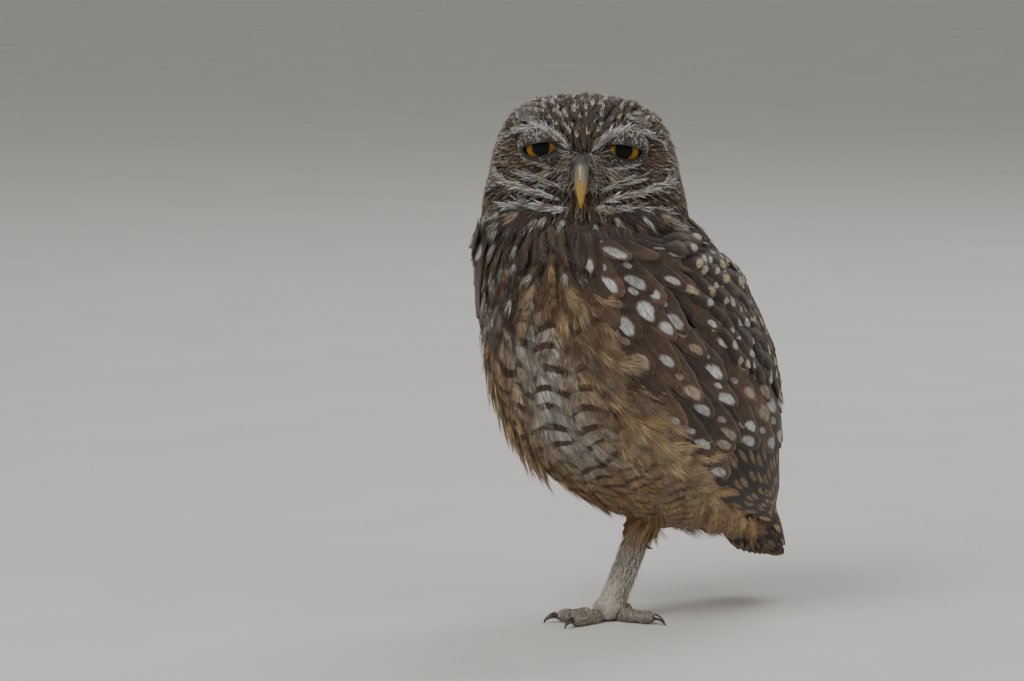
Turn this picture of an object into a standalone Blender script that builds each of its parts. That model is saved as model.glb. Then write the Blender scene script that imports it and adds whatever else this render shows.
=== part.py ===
"""Burrowing owl, resting on one foot with its head turned, as a still life-size model.

Units are metres. +Z is up, the breast faces -Y and the bird's left side is +X.
The origin is the middle of the standing foot's sole, on the floor.
"""

import math
import random

import bpy
import bmesh
from mathutils import Matrix, Vector

# Driving dimensions
GAP = 0.0003
HEAD_YAW = math.radians(39)
HEAD_ROLL = math.radians(1.5)
HEAD_CENTRE = Vector((0.0, -0.0148, 0.183))
HEAD_BOTTOM_Z = 0.165
SKULL_EXPONENT = 2.25
FACE_COLUMNS = 38
FACE_CROWDING = 0.45
FACE_ROWS = 18
EYE_RADIUS = 0.0078
EYE_SPACING = 0.0325
EYE_FORWARD = 0.0208
EYE_FLATNESS = 0.62
EYE_RISE = 0.0074
EYE_SPLAY = math.radians(9)
EYE_PITCH = math.radians(-3)
LID_THICKNESS = 0.0012
EYE_SLIT_WIDTH = 0.0130
EYE_SLIT_HEIGHT = 0.0058
EYE_SLIT_TILT = math.radians(9)
BEAK_DROP = 0.0180
BEAK_REACH = 0.0116
BEAK_TURN = math.radians(112)
BEAK_WIDTH = 0.0074
BEAK_DEPTH = 0.0084
BEAK_ROOT = Vector((0.0, 0.0258, 0.0030))
CERE_RADIUS = 0.0030
NOSTRIL_RADIUS = 0.0010
BODY_EXPONENT = 2.15
RING_POINTS = 28
WING_DEPTH = 0.0046
WING_INSET = 0.0030
WING_EDGE = 0.0012
TAIL_LENGTH = 0.074
TAIL_ROOT = Vector((0.0, 0.0525, 0.0735))
TAIL_TIP = Vector((0.0, 0.0955, 0.0185))
TAIL_HALF_WIDTH = 0.0150
TAIL_CLEARANCE = 0.0020
TAIL_CORE_SHARE = 0.80
TAIL_PAIRS = 6
HIP = Vector((0.0070, 0.0160, 0.0640))
ANKLE = Vector((0.0025, 0.0190, 0.0400))
FOOT_TOP = Vector((0.0000, 0.0012, 0.0085))
SHANK_RADIUS = 0.0054
THIGH_RADIUS = 0.0165
ANKLE_RADIUS = 0.0072
TOE_RADIUS = 0.0031
PAD_HEIGHT = 0.0043
CLAW_LENGTH = 0.0085
TUCKED_HEEL = Vector((-0.0130, 0.0700, 0.0370))
TUCKED_FOOT = Vector((-0.0165, 0.0480, 0.0345))
TUCKED_SPREAD = 0.0038

# Toes of the standing foot: heading from straight ahead towards the bird's left, and length.
TOES = {
    "inner": (-30.0, 0.0190),
    "middle": (6.0, 0.0220),
    "outer": (97.0, 0.0185),
    "hind": (198.0, 0.0150),
}
TOE_START = 0.0030

# Body stations from the collar down: front point y z, back point y z, half width.
BODY_STATIONS = (
    ((-0.0500, 0.1605), (0.0245, 0.1625), 0.0394),
    ((-0.0530, 0.1500), (0.0350, 0.1560), 0.0402),
    ((-0.0555, 0.1370), (0.0460, 0.1465), 0.0408),
    ((-0.0565, 0.1200), (0.0570, 0.1310), 0.0418),
    ((-0.0535, 0.1005), (0.0672, 0.1130), 0.0430),
    ((-0.0440, 0.0820), (0.0728, 0.0940), 0.0430),
    ((-0.0270, 0.0650), (0.0758, 0.0760), 0.0405),
    ((-0.0050, 0.0500), (0.0785, 0.0600), 0.0338),
    ((0.0190, 0.0410), (0.0825, 0.0480), 0.0265),
    ((0.0420, 0.0362), (0.0865, 0.0390), 0.0195),
    ((0.0640, 0.0300), (0.0935, 0.0310), 0.0155),
    ((0.0760, 0.0210), (0.0975, 0.0215), 0.0130),
)
NECK_LAST = 1.0
TORSO_LAST = 9.0
NECK_STEPS = 3
TORSO_STEPS = 15

# Head levels from the bottom up: height over the head's centre, half width, front and back depth.
HEAD_LEVELS = (
    (-0.0180, 0.0394, 0.0330, 0.0365),
    (-0.0130, 0.0392, 0.0332, 0.0365),
    (-0.0060, 0.0379, 0.0312, 0.0360),
    (0.0030, 0.0357, 0.0292, 0.0345),
    (0.0110, 0.0332, 0.0272, 0.0318),
    (0.0180, 0.0292, 0.0232, 0.0278),
    (0.0235, 0.0228, 0.0170, 0.0218),
    (0.0270, 0.0132, 0.0090, 0.0128),
)
HEAD_CROWN = 0.0288

# Wing edges on the body, as angles from the breast's midline at a station.
WING_EDGES = (
    (0.35, 36.0, 64.0),
    (1.2, 40.0, 104.0),
    (2.7, 48.0, 137.0),
    (4.2, 59.0, 153.0),
    (5.2, 66.0, 159.0),
    (6.2, 73.0, 163.0),
    (7.1, 77.0, 166.0),
    (8.0, 82.0, 168.0),
    (9.0, 98.0, 170.0),
    (10.4, 125.0, 172.0),
)
WING_FIRST = 0.35
WING_CORE_LAST = 9.3

# Tiers of the folded wing: count, root and tip stations at the lower edge, the same at the
# upper edge, half width, and how far the tips stand proud.
WING_TIERS = {
    "flight": (8, 6.2, 10.45, 5.2, 9.3, 0.0056, 0.0020),
    "greater": (6, 4.5, 7.5, 4.1, 6.9, 0.0074, 0.0019),
    "median": (6, 3.0, 5.3, 2.8, 5.1, 0.0074, 0.0018),
    "lesser": (5, 1.0, 3.7, 1.3, 3.7, 0.0070, 0.0016),
}
SCAPULARS = 4
VANE_STEPS = {"flight": 4, "greater": 3, "median": 3, "lesser": 2}

FEATHER_BROWN = (0.10, 0.062, 0.038, 1.0)
BREAST_BUFF = (0.36, 0.25, 0.15, 1.0)
LEG_WHITE = (0.52, 0.47, 0.40, 1.0)
TOE_GREY = (0.30, 0.26, 0.21, 1.0)
CLAW_BLACK = (0.03, 0.026, 0.022, 1.0)
BEAK_YELLOW = (0.44, 0.37, 0.16, 1.0)
EYE_AMBER = (0.55, 0.28, 0.03, 1.0)


def remove_all():
    for obj in list(bpy.data.objects):
        bpy.data.objects.remove(obj)


def material(name, colour, roughness):
    made = bpy.data.materials.new(name)
    made.use_nodes = True
    shader = made.node_tree.nodes["Principled BSDF"]
    shader.inputs["Base Color"].default_value = colour
    shader.inputs["Roughness"].default_value = roughness
    shader.inputs["Metallic"].default_value = 0.0
    return made


def new_object(name, mesh_builder, finish=None):
    """Turns a bmesh into an object with outward faces."""
    bmesh.ops.recalc_face_normals(mesh_builder, faces=mesh_builder.faces)
    mesh = bpy.data.meshes.new(name)
    mesh_builder.to_mesh(mesh)
    mesh_builder.free()
    obj = bpy.data.objects.new(name, mesh)
    bpy.context.scene.collection.objects.link(obj)
    if finish:
        mesh.materials.append(finish)
    return obj


def blend_rows(rows, place):
    """A smooth value between the rows of a table, at a place counted in rows."""
    place = min(max(place, 0.0), len(rows) - 1.0)
    low = min(int(place), len(rows) - 2)
    share = place - low
    before = rows[max(low - 1, 0)]
    after = rows[min(low + 2, len(rows) - 1)]
    values = []
    for p0, p1, p2, p3 in zip(before, rows[low], rows[low + 1], after):
        slope1 = (p2 - p0) / 2
        slope2 = (p3 - p1) / 2
        a = 2 * p1 - 2 * p2 + slope1 + slope2
        b = -3 * p1 + 3 * p2 - 2 * slope1 - slope2
        values.append(((a * share + b) * share + slope1) * share + p1)
    return values


def linear_rows(rows, key):
    """The other values of the rows, in proportion to the first one."""
    if key <= rows[0][0]:
        return rows[0][1:]
    for low, high in zip(rows, rows[1:]):
        if key <= high[0]:
            share = (key - low[0]) / (high[0] - low[0])
            share = share * share * (3 - 2 * share) * 0.4 + share * 0.6
            return [a + (b - a) * share for a, b in zip(low[1:], high[1:])]
    return rows[-1][1:]


def rounded(value, exponent):
    """A sine or cosine drawn out for a superellipse."""
    return math.copysign(abs(value) ** (2 / exponent), value)


def loft(rings):
    """A closed mesh through rings of points, each end closed to the middle of its ring."""
    builder = bmesh.new()
    rows = [[builder.verts.new(point) for point in ring] for ring in rings]
    count = len(rows[0])
    for lower, upper in zip(rows, rows[1:]):
        for i in range(count):
            j = (i + 1) % count
            builder.faces.new((lower[i], lower[j], upper[j]))
            builder.faces.new((lower[i], upper[j], upper[i]))
    for row in (rows[0], rows[-1]):
        middle = sum((v.co for v in row), Vector()) / count
        tip = builder.verts.new(middle)
        for i in range(count):
            builder.faces.new((row[i], row[(i + 1) % count], tip))
    return builder


def apply_modifiers(obj):
    """Bakes an object's modifiers into its mesh."""
    graph = bpy.context.evaluated_depsgraph_get()
    evaluated = obj.evaluated_get(graph)
    mesh = bpy.data.meshes.new_from_object(evaluated)
    old = obj.data
    obj.modifiers.clear()
    obj.data = mesh
    bpy.data.meshes.remove(old)


def keep_largest(obj):
    """Leaves only the closed surface with the greatest volume."""
    builder = bmesh.new()
    builder.from_mesh(obj.data)
    bmesh.ops.triangulate(builder, faces=builder.faces)
    left = set(builder.verts)
    shells = []
    while left:
        seed = left.pop()
        shell = {seed}
        front = [seed]
        while front:
            vert = front.pop()
            for edge in vert.link_edges:
                other = edge.other_vert(vert)
                if other in left:
                    left.remove(other)
                    shell.add(other)
                    front.append(other)
        shells.append(shell)

    def volume(shell):
        faces = {face for vert in shell for face in vert.link_faces}
        return sum(
            face.verts[0].co.dot(face.verts[1].co.cross(face.verts[2].co)) / 6 for face in faces
        )

    best = max(shells, key=volume)
    bmesh.ops.delete(builder, geom=[v for v in builder.verts if v not in best], context="VERTS")
    builder.to_mesh(obj.data)
    builder.free()


def combine(obj, others, operation, solver="EXACT"):
    """One Boolean of an object with a list of closed mesh objects, which are then removed."""
    group = bpy.data.collections.new("pieces")
    bpy.context.scene.collection.children.link(group)
    for other in others:
        bpy.context.scene.collection.objects.unlink(other)
        group.objects.link(other)
    boolean = obj.modifiers.new("join", "BOOLEAN")
    boolean.operation = operation
    boolean.solver = solver
    boolean.operand_type = "COLLECTION"
    boolean.collection = group
    bpy.context.view_layer.update()
    apply_modifiers(obj)
    for other in others:
        bpy.data.objects.remove(other)
    bpy.data.collections.remove(group)
    keep_largest(obj)


def shade(obj, angle=50.0):
    obj.data.shade_smooth()
    obj.data.set_sharp_from_angle(angle=math.radians(angle))


# Body

def body_point(station, angle, grow=0.0, side=1.0):
    """A point on the body's feathered outline; angle 0 is the breast, pi the back."""
    rows = [(*front, *back, half) for front, back, half in BODY_STATIONS]
    fy, fz, by, bz, half = blend_rows(rows, station)
    front = Vector((0.0, fy, fz))
    back = Vector((0.0, by, bz))
    middle = (front + back) / 2
    forward = (front - back) / 2
    depth = forward.length + grow
    across = rounded(math.sin(angle), BODY_EXPONENT) * (half + grow) * side
    along = rounded(math.cos(angle), BODY_EXPONENT) * depth
    return middle + forward.normalized() * along + Vector((across, 0.0, 0.0))


def body_ring(station, grow=0.0, rise=0.0):
    return [
        body_point(station, 2 * math.pi * i / RING_POINTS, grow) + Vector((0.0, 0.0, rise))
        for i in range(RING_POINTS)
    ]


def neck_top(grow=0.0, rise=0.0):
    """The collar's upper ring, just inside the head's lower edge."""
    ring = []
    for i in range(RING_POINTS):
        point = head_point(0.0, 2 * math.pi * i / RING_POINTS - HEAD_YAW, grow - GAP)
        ring.append(Vector((point.x, point.y, HEAD_BOTTOM_Z - GAP + rise)))
    return ring


def neck_rings(grow=0.0):
    return [body_ring(NECK_LAST * i / NECK_STEPS, grow) for i in range(NECK_STEPS)]


def torso_rings(grow=0.0):
    """Rings from the collar down to the vent, the last drawn in to round the belly off."""
    span = TORSO_LAST - NECK_LAST
    rings = [body_ring(NECK_LAST + span * i / TORSO_STEPS, grow) for i in range(TORSO_STEPS + 1)]
    last = rings[-1]
    middle = sum(last, Vector()) / len(last)
    droop = Vector((0.0, 0.0, -0.0030 - grow))
    rings.append([middle + (point - middle) * 0.72 + droop * 0.75 for point in last])
    rings.append([middle + (point - middle) * 0.30 + droop for point in last])
    return rings


def body_cutter():
    """The neck and torso, a gap larger all round, to trim what meets them."""
    rings = [neck_top(GAP, GAP)] + neck_rings(GAP) + torso_rings(GAP)
    return new_object("body_cutter", loft(rings))


def make_torso(finish):
    rings = torso_rings()
    rings[0] = [point - Vector((0.0, 0.0, GAP)) for point in rings[0]]
    return new_object("torso", loft(rings), finish)


def make_neck(finish):
    """A short collar of feathers between the shoulders and the head."""
    rings = [neck_top()] + neck_rings() + [body_ring(NECK_LAST)]
    return new_object("neck", loft(rings), finish)


# Head

def head_to_world(left, forward, up):
    """Turns left, forward and up from the head's centre into the part's own frame."""
    ahead = Vector((math.sin(HEAD_YAW), -math.cos(HEAD_YAW), 0.0))
    aside = Vector((math.cos(HEAD_YAW), math.sin(HEAD_YAW), -math.sin(HEAD_ROLL)))
    return HEAD_CENTRE + ahead * forward + aside * left + Vector((0.0, 0.0, up))


def bump(distance, width):
    return math.exp(-((distance / width) ** 2))


def face_relief(left, forward, up):
    """How far the face stands out: hollow discs round the eyes, a raised brow and rim."""
    if forward < 0.004:
        return 0.0
    side = abs(left)
    from_eye = math.hypot(side - EYE_SPACING / 2, (up - EYE_RISE) * 1.05)
    hollow = -0.0034 * bump(from_eye, 0.0085)
    brow_top = EYE_RISE + 0.0072 - 0.0050 * bump(side, 0.0080)
    brow = 0.0030 * bump(up - brow_top, 0.0036) * bump(max(side - 0.020, 0.0), 0.0070)
    rim = 0.0014 * bump(from_eye - 0.0190, 0.0030) * (1.0 if up < 0.006 else 0.35)
    bridge = 0.0020 * bump(side, 0.0048) * bump(up - 0.0050, 0.0090)
    front = min(1.0, (forward - 0.004) / 0.010)
    return (hollow + brow + rim + bridge) * front


def head_point(level, angle, grow=0.0):
    """A point on the head; angle 0 is straight ahead, and it turns to the bird's left."""
    up, half, front, back = blend_rows(HEAD_LEVELS, level)
    depth = front if math.cos(angle) > 0 else back
    left = rounded(math.sin(angle), SKULL_EXPONENT) * half
    forward = rounded(math.cos(angle), SKULL_EXPONENT) * depth
    stand = face_relief(left, forward, up) + grow
    reach = math.hypot(left, forward)
    scale = (reach + stand) / max(reach, 1e-6)
    return head_to_world(left * scale, forward * scale, up + grow * max(level - 5, 0) / 2)


def head_mesh(grow=0.0):
    """Rings from the flat bottom to the crown, with a finer grid over the face."""
    angles = []
    for i in range(FACE_COLUMNS):
        turn = 2 * math.pi * i / FACE_COLUMNS
        angles.append(turn - FACE_CROWDING * math.sin(turn))
    top = len(HEAD_LEVELS) - 1.0
    levels = [top * i / FACE_ROWS for i in range(FACE_ROWS + 1)]
    rings = [[head_point(level, angle, grow) for angle in angles] for level in levels]
    rings[0] = [Vector((p.x, p.y, HEAD_BOTTOM_Z - grow)) for p in rings[0]]
    crown = head_to_world(0.0, 0.0, HEAD_CROWN + grow)
    rings.append([crown.lerp(p, 0.35) - Vector((0, 0, 0.0001)) for p in rings[-1]])
    return loft(rings)


def eye_axis(side):
    """Which way an eye looks, in the part's own frame."""
    yaw = EYE_SPLAY * side
    left = math.sin(yaw) * math.cos(EYE_PITCH)
    forward = math.cos(yaw) * math.cos(EYE_PITCH)
    tip = head_to_world(left, forward, math.sin(EYE_PITCH))
    return (tip - HEAD_CENTRE).normalized()


def eye_centre(side):
    return head_to_world(EYE_SPACING / 2 * side, EYE_FORWARD, EYE_RISE)


def ball(name, centre, radius, axis=Vector((0, 0, 1)), segments=20, rings=12, flatness=1.0):
    """A ball, or one flattened along its axis."""
    builder = bmesh.new()
    bmesh.ops.create_uvsphere(builder, u_segments=segments, v_segments=rings, radius=radius)
    bmesh.ops.scale(builder, vec=(1, 1, flatness), verts=builder.verts)
    turn = Vector((0, 0, 1)).rotation_difference(axis).to_matrix().to_4x4()
    bmesh.ops.transform(builder, matrix=Matrix.Translation(centre) @ turn, verts=builder.verts)
    bmesh.ops.triangulate(builder, faces=builder.faces)
    return new_object(name, builder)


def eye_lens(name, side, grow=0.0, segments=18, rings=9):
    """An eyeball seen from its front: round, and flatter than a ball from front to back."""
    radius = EYE_RADIUS + grow
    flatness = (EYE_RADIUS * EYE_FLATNESS + grow) / radius
    return ball(name, eye_centre(side), radius, eye_axis(side), segments, rings, flatness)


def eye_slit(side):
    """The almond opening between the lids, as a prism along the eye's axis."""
    axis = eye_axis(side)
    centre = eye_centre(side)
    across = Vector((0, 0, 1)).cross(axis).normalized()
    upright = axis.cross(across).normalized()
    points = []
    count = 20
    for i in range(count):
        turn = 2 * math.pi * i / count
        x = math.cos(turn) * EYE_SLIT_WIDTH / 2
        lift = 0.42 if math.sin(turn) > 0 else 0.58
        y = math.sin(turn) * EYE_SLIT_HEIGHT * lift
        tilt = -EYE_SLIT_TILT * side
        points.append((
            x * math.cos(tilt) - y * math.sin(tilt),
            x * math.sin(tilt) + y * math.cos(tilt),
        ))
    rings = []
    for reach, flare in ((0.0, 0.9), (EYE_RADIUS, 1.0), (EYE_RADIUS + 0.012, 1.5)):
        rings.append([
            centre + axis * reach + across * (-x * flare) + upright * (y * flare)
            for x, y in points
        ])
    return new_object("slit", loft(rings))


def make_head(finish):
    """The head with raised lids round two sockets and a slanting slit in front of each eye."""
    head = new_object("head", head_mesh(), finish)
    lids = [eye_lens("lid", side, LID_THICKNESS, 18, 10) for side in (1, -1)]
    combine(head, lids, "UNION")
    cutters = []
    for side in (1, -1):
        cutters.append(eye_lens("socket", side, GAP))
        cutters.append(eye_slit(side))
    combine(head, cutters, "DIFFERENCE")
    return head


def make_eye(side, finish):
    eye = eye_lens("eye_left" if side > 0 else "eye_right", side)
    eye.data.materials.append(finish)
    return eye


def beak_path(share):
    """The middle of the upper beak in left, forward, up: out of the face, then hooked down."""
    turn = share * BEAK_TURN
    forward = BEAK_ROOT.y + BEAK_REACH * math.sin(turn)
    up = BEAK_ROOT.z - BEAK_DROP * (1 - math.cos(turn)) / (1 - math.cos(BEAK_TURN))
    return Vector((0.0, forward, up)), turn


def beak_rings(grow=0.0):
    rings = []
    count = 16
    steps = 11
    for i in range(steps):
        share = i / (steps - 1)
        centre, turn = beak_path(share)
        taper = 0.16 + 0.84 * (1 - share ** 3.2)
        wide = BEAK_WIDTH / 2 * taper + grow
        deep = BEAK_DEPTH / 2 * (0.14 + 0.86 * (1 - share ** 1.7)) + grow
        normal = Vector((0.0, math.sin(turn), math.cos(turn)))
        ring = []
        for j in range(count):
            angle = 2 * math.pi * j / count
            ridge = 1.10 if math.cos(angle) > 0 else 0.95
            left = math.sin(angle) * wide * (1 - 0.25 * max(math.cos(angle), 0.0) ** 2)
            local = centre + normal * (math.cos(angle) * deep * ridge)
            ring.append(head_to_world(left, local.y, local.z))
        rings.append(ring)
    return rings


def make_beak(finish):
    """The hooked upper beak with its swollen cere and two nostrils, and the lower beak."""
    upper = new_object("beak_upper", loft(beak_rings()), finish)
    cere = []
    for side in (1, -1):
        centre = head_to_world(0.0022 * side, BEAK_ROOT.y + 0.0042, BEAK_ROOT.z - 0.0006)
        cere.append(ball("cere", centre, CERE_RADIUS, segments=14, rings=8))
    combine(upper, cere, "UNION")
    cutters = []
    for side in (1, -1):
        centre = head_to_world(0.0046 * side, BEAK_ROOT.y + 0.0056, BEAK_ROOT.z - 0.0008)
        cutters.append(ball("nostril", centre, NOSTRIL_RADIUS, segments=8, rings=6))
    combine(upper, cutters, "DIFFERENCE")

    rings = []
    for i in range(6):
        share = i / 5
        forward = BEAK_ROOT.y + 0.0020 + 0.0068 * share
        up = BEAK_ROOT.z - 0.0088 - 0.0055 * share ** 1.3
        wide = 0.0027 * (1 - 0.72 * share)
        deep = 0.0018 * (1 - 0.70 * share)
        rings.append([
            head_to_world(
                wide * math.sin(2 * math.pi * j / 12),
                forward + deep * 0.5 * math.cos(2 * math.pi * j / 12),
                up + deep * math.cos(2 * math.pi * j / 12),
            )
            for j in range(12)
        ])
    lower = new_object("beak_lower", loft(rings), finish)
    combine(lower, [new_object("beak_cutter", loft(beak_rings(GAP)))], "DIFFERENCE")
    for piece in (upper, lower):
        combine(piece, [new_object("head_cutter", head_mesh(GAP))], "DIFFERENCE")
    return upper, lower


# Wings

def wing_point(side, station, share, height):
    """A point over the folded wing: share 0 is its lower edge and 1 its upper edge."""
    low, high = linear_rows(WING_EDGES, station)
    angle = math.radians(low + (high - low) * share)
    return body_point(station, angle, height, side)


def wing_height(station, share):
    """The wing core's thickness over the body, thinning to its edges and its far end."""
    across = math.sin(math.pi * min(max(share, 0.0), 1.0)) ** 0.55
    start = min(1.0, max(0.0, station - WING_FIRST) / 0.8)
    end = min(1.0, max(0.0, (WING_CORE_LAST + 0.6 - station) / 2.2))
    return WING_EDGE + (WING_DEPTH - WING_EDGE) * across * start ** 0.6 * end


def wing_core(name, side, finish):
    rings = []
    steps = 13
    columns = 7
    for i in range(steps):
        station = WING_FIRST + (WING_CORE_LAST - WING_FIRST) * i / (steps - 1)
        inset = -WING_INSET if station < TORSO_LAST - 0.6 else -WING_EDGE
        ring = []
        for j in range(columns):
            share = j / (columns - 1)
            ring.append(wing_point(side, station, share, wing_height(station, share)))
        for j in reversed(range(columns)):
            share = j / (columns - 1)
            ring.append(wing_point(side, station, share, inset))
        rings.append(ring)
    return new_object(name, loft(rings), finish)


def vane(surface, root, tip, half_width, sunk, proud, steps=4, blunt=0.85):
    """One closed feather on a surface. root and tip are places on it, surface(place, aside,
    height) gives a point, and the feather's tip stands proud of the surface."""
    builder = bmesh.new()
    rows = []
    for i in range(steps + 1):
        share = i / steps
        opening = min(1.0, 0.60 + 1.6 * share)
        closing = 1 - max(0.0, (share - 0.40) / 0.60) ** 2.4 * blunt
        wide = half_width * opening * closing
        place = [a + (b - a) * share for a, b in zip(root, tip)]
        top = 0.0002 + proud * share
        profile = ((-1.0, top - 0.0002), (0.0, top + 0.0003), (1.0, top - 0.0002))
        row = [builder.verts.new(surface(place, aside * wide, high)) for aside, high in profile]
        row += [builder.verts.new(surface(place, aside * wide, -sunk)) for aside in (1.0, -1.0)]
        rows.append(row)
    for near, far in zip(rows, rows[1:]):
        for j in range(5):
            k = (j + 1) % 5
            if j in (0, 3):
                builder.faces.new((near[j], near[k], far[j]))
                builder.faces.new((near[k], far[k], far[j]))
            else:
                builder.faces.new((near[j], near[k], far[k]))
                builder.faces.new((near[j], far[k], far[j]))
    for row in (rows[0], rows[-1]):
        builder.faces.new((row[0], row[1], row[4]))
        builder.faces.new((row[1], row[3], row[4]))
        builder.faces.new((row[1], row[2], row[3]))
    return new_object("vane", builder)


def wing_surface(side, over):
    """The wing's surface for vane(), with the place as station and share."""
    def surface(place, aside, height):
        station, share = place
        here = wing_point(side, station, share, 0.0)
        there = wing_point(side, station, share + 0.02, 0.0)
        per_metre = 0.02 / max((there - here).length, 1e-5)
        moved = share + aside * per_metre
        base = wing_height(station, share) if station < WING_CORE_LAST else WING_EDGE
        return wing_point(side, station, moved, base + over + height)
    return surface


def wing_vanes(side, draw):
    """The tiers of feathers of one folded wing, from the flight feathers up."""
    made = []
    for tier, sizes in WING_TIERS.items():
        count, low_root, low_tip, high_root, high_tip, half, proud = sizes
        for i in range(count):
            across = i / (count - 1)
            share = 0.05 + 0.88 * across
            root = low_root + (high_root - low_root) * across
            bend = across ** 1.4 if tier == "flight" else across
            tip = low_tip + (high_tip - low_tip) * bend
            tip += draw.uniform(-0.08, 0.08)
            over = 0.0010 * across if tier == "flight" else 0.0
            sunk = 0.0012 if tier == "flight" else 0.0016
            width = half * draw.uniform(0.94, 1.06)
            made.append(
                vane(
                    wing_surface(side, over),
                    (root, share),
                    (tip, share + 0.02),
                    width,
                    sunk,
                    proud,
                    VANE_STEPS[tier],
                )
            )
    for i in range(SCAPULARS):
        root = 0.9 + 0.85 * i
        made.append(
            vane(
                wing_surface(side, 0.0008),
                (root, 0.97),
                (root + 2.3, 0.86),
                0.0068,
                0.0020,
                0.0021,
            )
        )
    return made


def make_wing(side, finish):
    name = "wing_left" if side > 0 else "wing_right"
    draw = random.Random(11)
    wing = wing_core(name, side, finish)
    combine(wing, wing_vanes(side, draw), "UNION", "MANIFOLD")
    return wing


# Tail

def tail_frame():
    """The tail's axis and its upper side's normal."""
    axis = (TAIL_TIP - TAIL_ROOT).normalized()
    over = Vector((0.0, -axis.z, axis.y))
    return axis, over


def tail_surface(lean):
    """The tail's surface for vane(), with the place as distance along and aside."""
    axis, over = tail_frame()

    def surface(place, aside, height):
        along, off = place
        across = off + aside
        arch = -0.10 * abs(across) - lean * across
        return TAIL_ROOT + axis * along + Vector((across, 0, 0)) + over * (height + arch)
    return surface


def tail_rings(reach, grow):
    """Rings round the tail, thick with down at its root and thin at its tip."""
    axis, over = tail_frame()
    rings = []
    steps = 8
    for i in range(steps):
        share = i / (steps - 1) * reach
        wide = TAIL_HALF_WIDTH * (0.86 + 0.14 * share) * (0.70 if reach < 1 else 1.0) + grow
        under = 0.0105 * (1 - share ** 1.8) + 0.0014 + grow
        upper = 0.0018 + grow
        ring = []
        for j in range(16):
            angle = 2 * math.pi * j / 16
            depth = upper if math.sin(angle) > 0 else under
            aside = Vector((rounded(math.cos(angle), 2.6) * wide, 0, 0))
            lift = over * (rounded(math.sin(angle), 2.6) * depth)
            ring.append(TAIL_ROOT + axis * (TAIL_LENGTH * share + grow * (i > 0)) + aside + lift)
        rings.append(ring)
    return rings


def tail_cutter():
    """The space that the tail and its fanned feathers take, to trim the wing tips."""
    return new_object("tail_cutter", loft(tail_rings(1.0, TAIL_CLEARANCE)))


def make_tail(finish):
    """The rump and under-tail down as a core, with twelve tail feathers fanned over it."""
    tail = new_object("tail", loft(tail_rings(TAIL_CORE_SHARE, 0.0)), finish)
    feathers = []
    for i in range(TAIL_PAIRS):
        for side in (1, -1):
            outward = (i + 0.45) / (TAIL_PAIRS - 0.55)
            root = (0.016, side * 0.0060 * outward)
            length = TAIL_LENGTH - 0.0042 * outward ** 2
            spread = side * (TAIL_HALF_WIDTH - 0.0040) * outward
            height = 0.0013 - 0.0018 * outward
            feathers.append(
                vane(
                    tail_surface(side * 0.05),
                    root,
                    (length, spread),
                    0.0056,
                    0.0009 - height,
                    height + 0.0004,
                    4,
                    0.55,
                )
            )
    combine(tail, feathers, "UNION", "MANIFOLD")
    return tail


# Legs

def tube(name, points, radii, finish=None, count=14, floor=None):
    """A closed tube through points, with a radius at each, flattened at a floor if given."""
    rings = []
    for i, (point, radius) in enumerate(zip(points, radii)):
        before = points[max(i - 1, 0)]
        after = points[min(i + 1, len(points) - 1)]
        along = (after - before).normalized()
        side = along.cross(Vector((0, 0, 1)))
        if side.length < 0.1:
            side = Vector((1, 0, 0))
        side.normalize()
        up = side.cross(along).normalized()
        ring = []
        for j in range(count):
            angle = 2 * math.pi * j / count
            spot = point + side * (math.cos(angle) * radius)
            spot += up * (math.sin(angle) * radius)
            if floor is not None:
                spot.z = max(spot.z, floor)
            ring.append(spot)
        rings.append(ring)
    return new_object(name, loft(rings), finish)


def curve_points(controls, count):
    """Evenly spaced places on a smooth line through a few points."""
    rows = [tuple(c) for c in controls]
    last = len(rows) - 1
    return [Vector(blend_rows(rows, last * i / (count - 1))) for i in range(count)]


def thigh_tube(name, finish=None, grow=0.0):
    """A funnel of feathers that narrows from the belly to the ankle."""
    axis = (ANKLE - HIP).normalized()
    end = ANKLE + axis * grow
    points = [HIP.lerp(end, i / 6) for i in range(7)]
    radii = [THIGH_RADIUS - (THIGH_RADIUS - ANKLE_RADIUS) * (i / 6) ** 0.9 + grow for i in range(7)]
    return tube(name, points, radii, finish, 20)


def make_thigh(finish):
    """The feathered thigh of the standing leg, from the belly to the ankle."""
    thigh = thigh_tube("thigh_left", finish)
    combine(thigh, [body_cutter()], "DIFFERENCE")
    return thigh


def make_shank(finish):
    """The feathered shank from the ankle down to the foot."""
    start = ANKLE + Vector((0, 0, 0.0030))
    middle = ANKLE.lerp(FOOT_TOP, 0.5) + Vector((0, 0.0010, 0))
    points = curve_points((start, middle, FOOT_TOP), 8)
    radii = [SHANK_RADIUS * r for r in (1.12, 1.06, 1.00, 0.95, 0.93, 0.94, 0.98, 1.02)]
    shank = tube("shank_left", points, radii, finish, 14)
    cutters = [foot_pad("pad_cutter", None, GAP), thigh_tube("thigh_cutter", None, GAP)]
    cutters.append(body_cutter())
    combine(shank, cutters, "DIFFERENCE")
    return shank


def foot_pad(name, finish, grow=0.0):
    """The ball of the foot, flat where it meets the floor."""
    places = (-0.0072, -0.0062, -0.0030, 0.0015, 0.0058, 0.0070)
    sizes = (0.0030, 0.0050, 0.0062, 0.0064, 0.0048, 0.0028)
    points = [Vector((0.0, y * (1 + grow / 0.0072), PAD_HEIGHT)) for y in places]
    floor = -4 * grow
    return tube(name, points, [size + grow for size in sizes], finish, 20, floor)


def toe_heading(name):
    turn = math.radians(TOES[name][0])
    return Vector((math.sin(turn), -math.cos(turn), 0.0))


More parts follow.
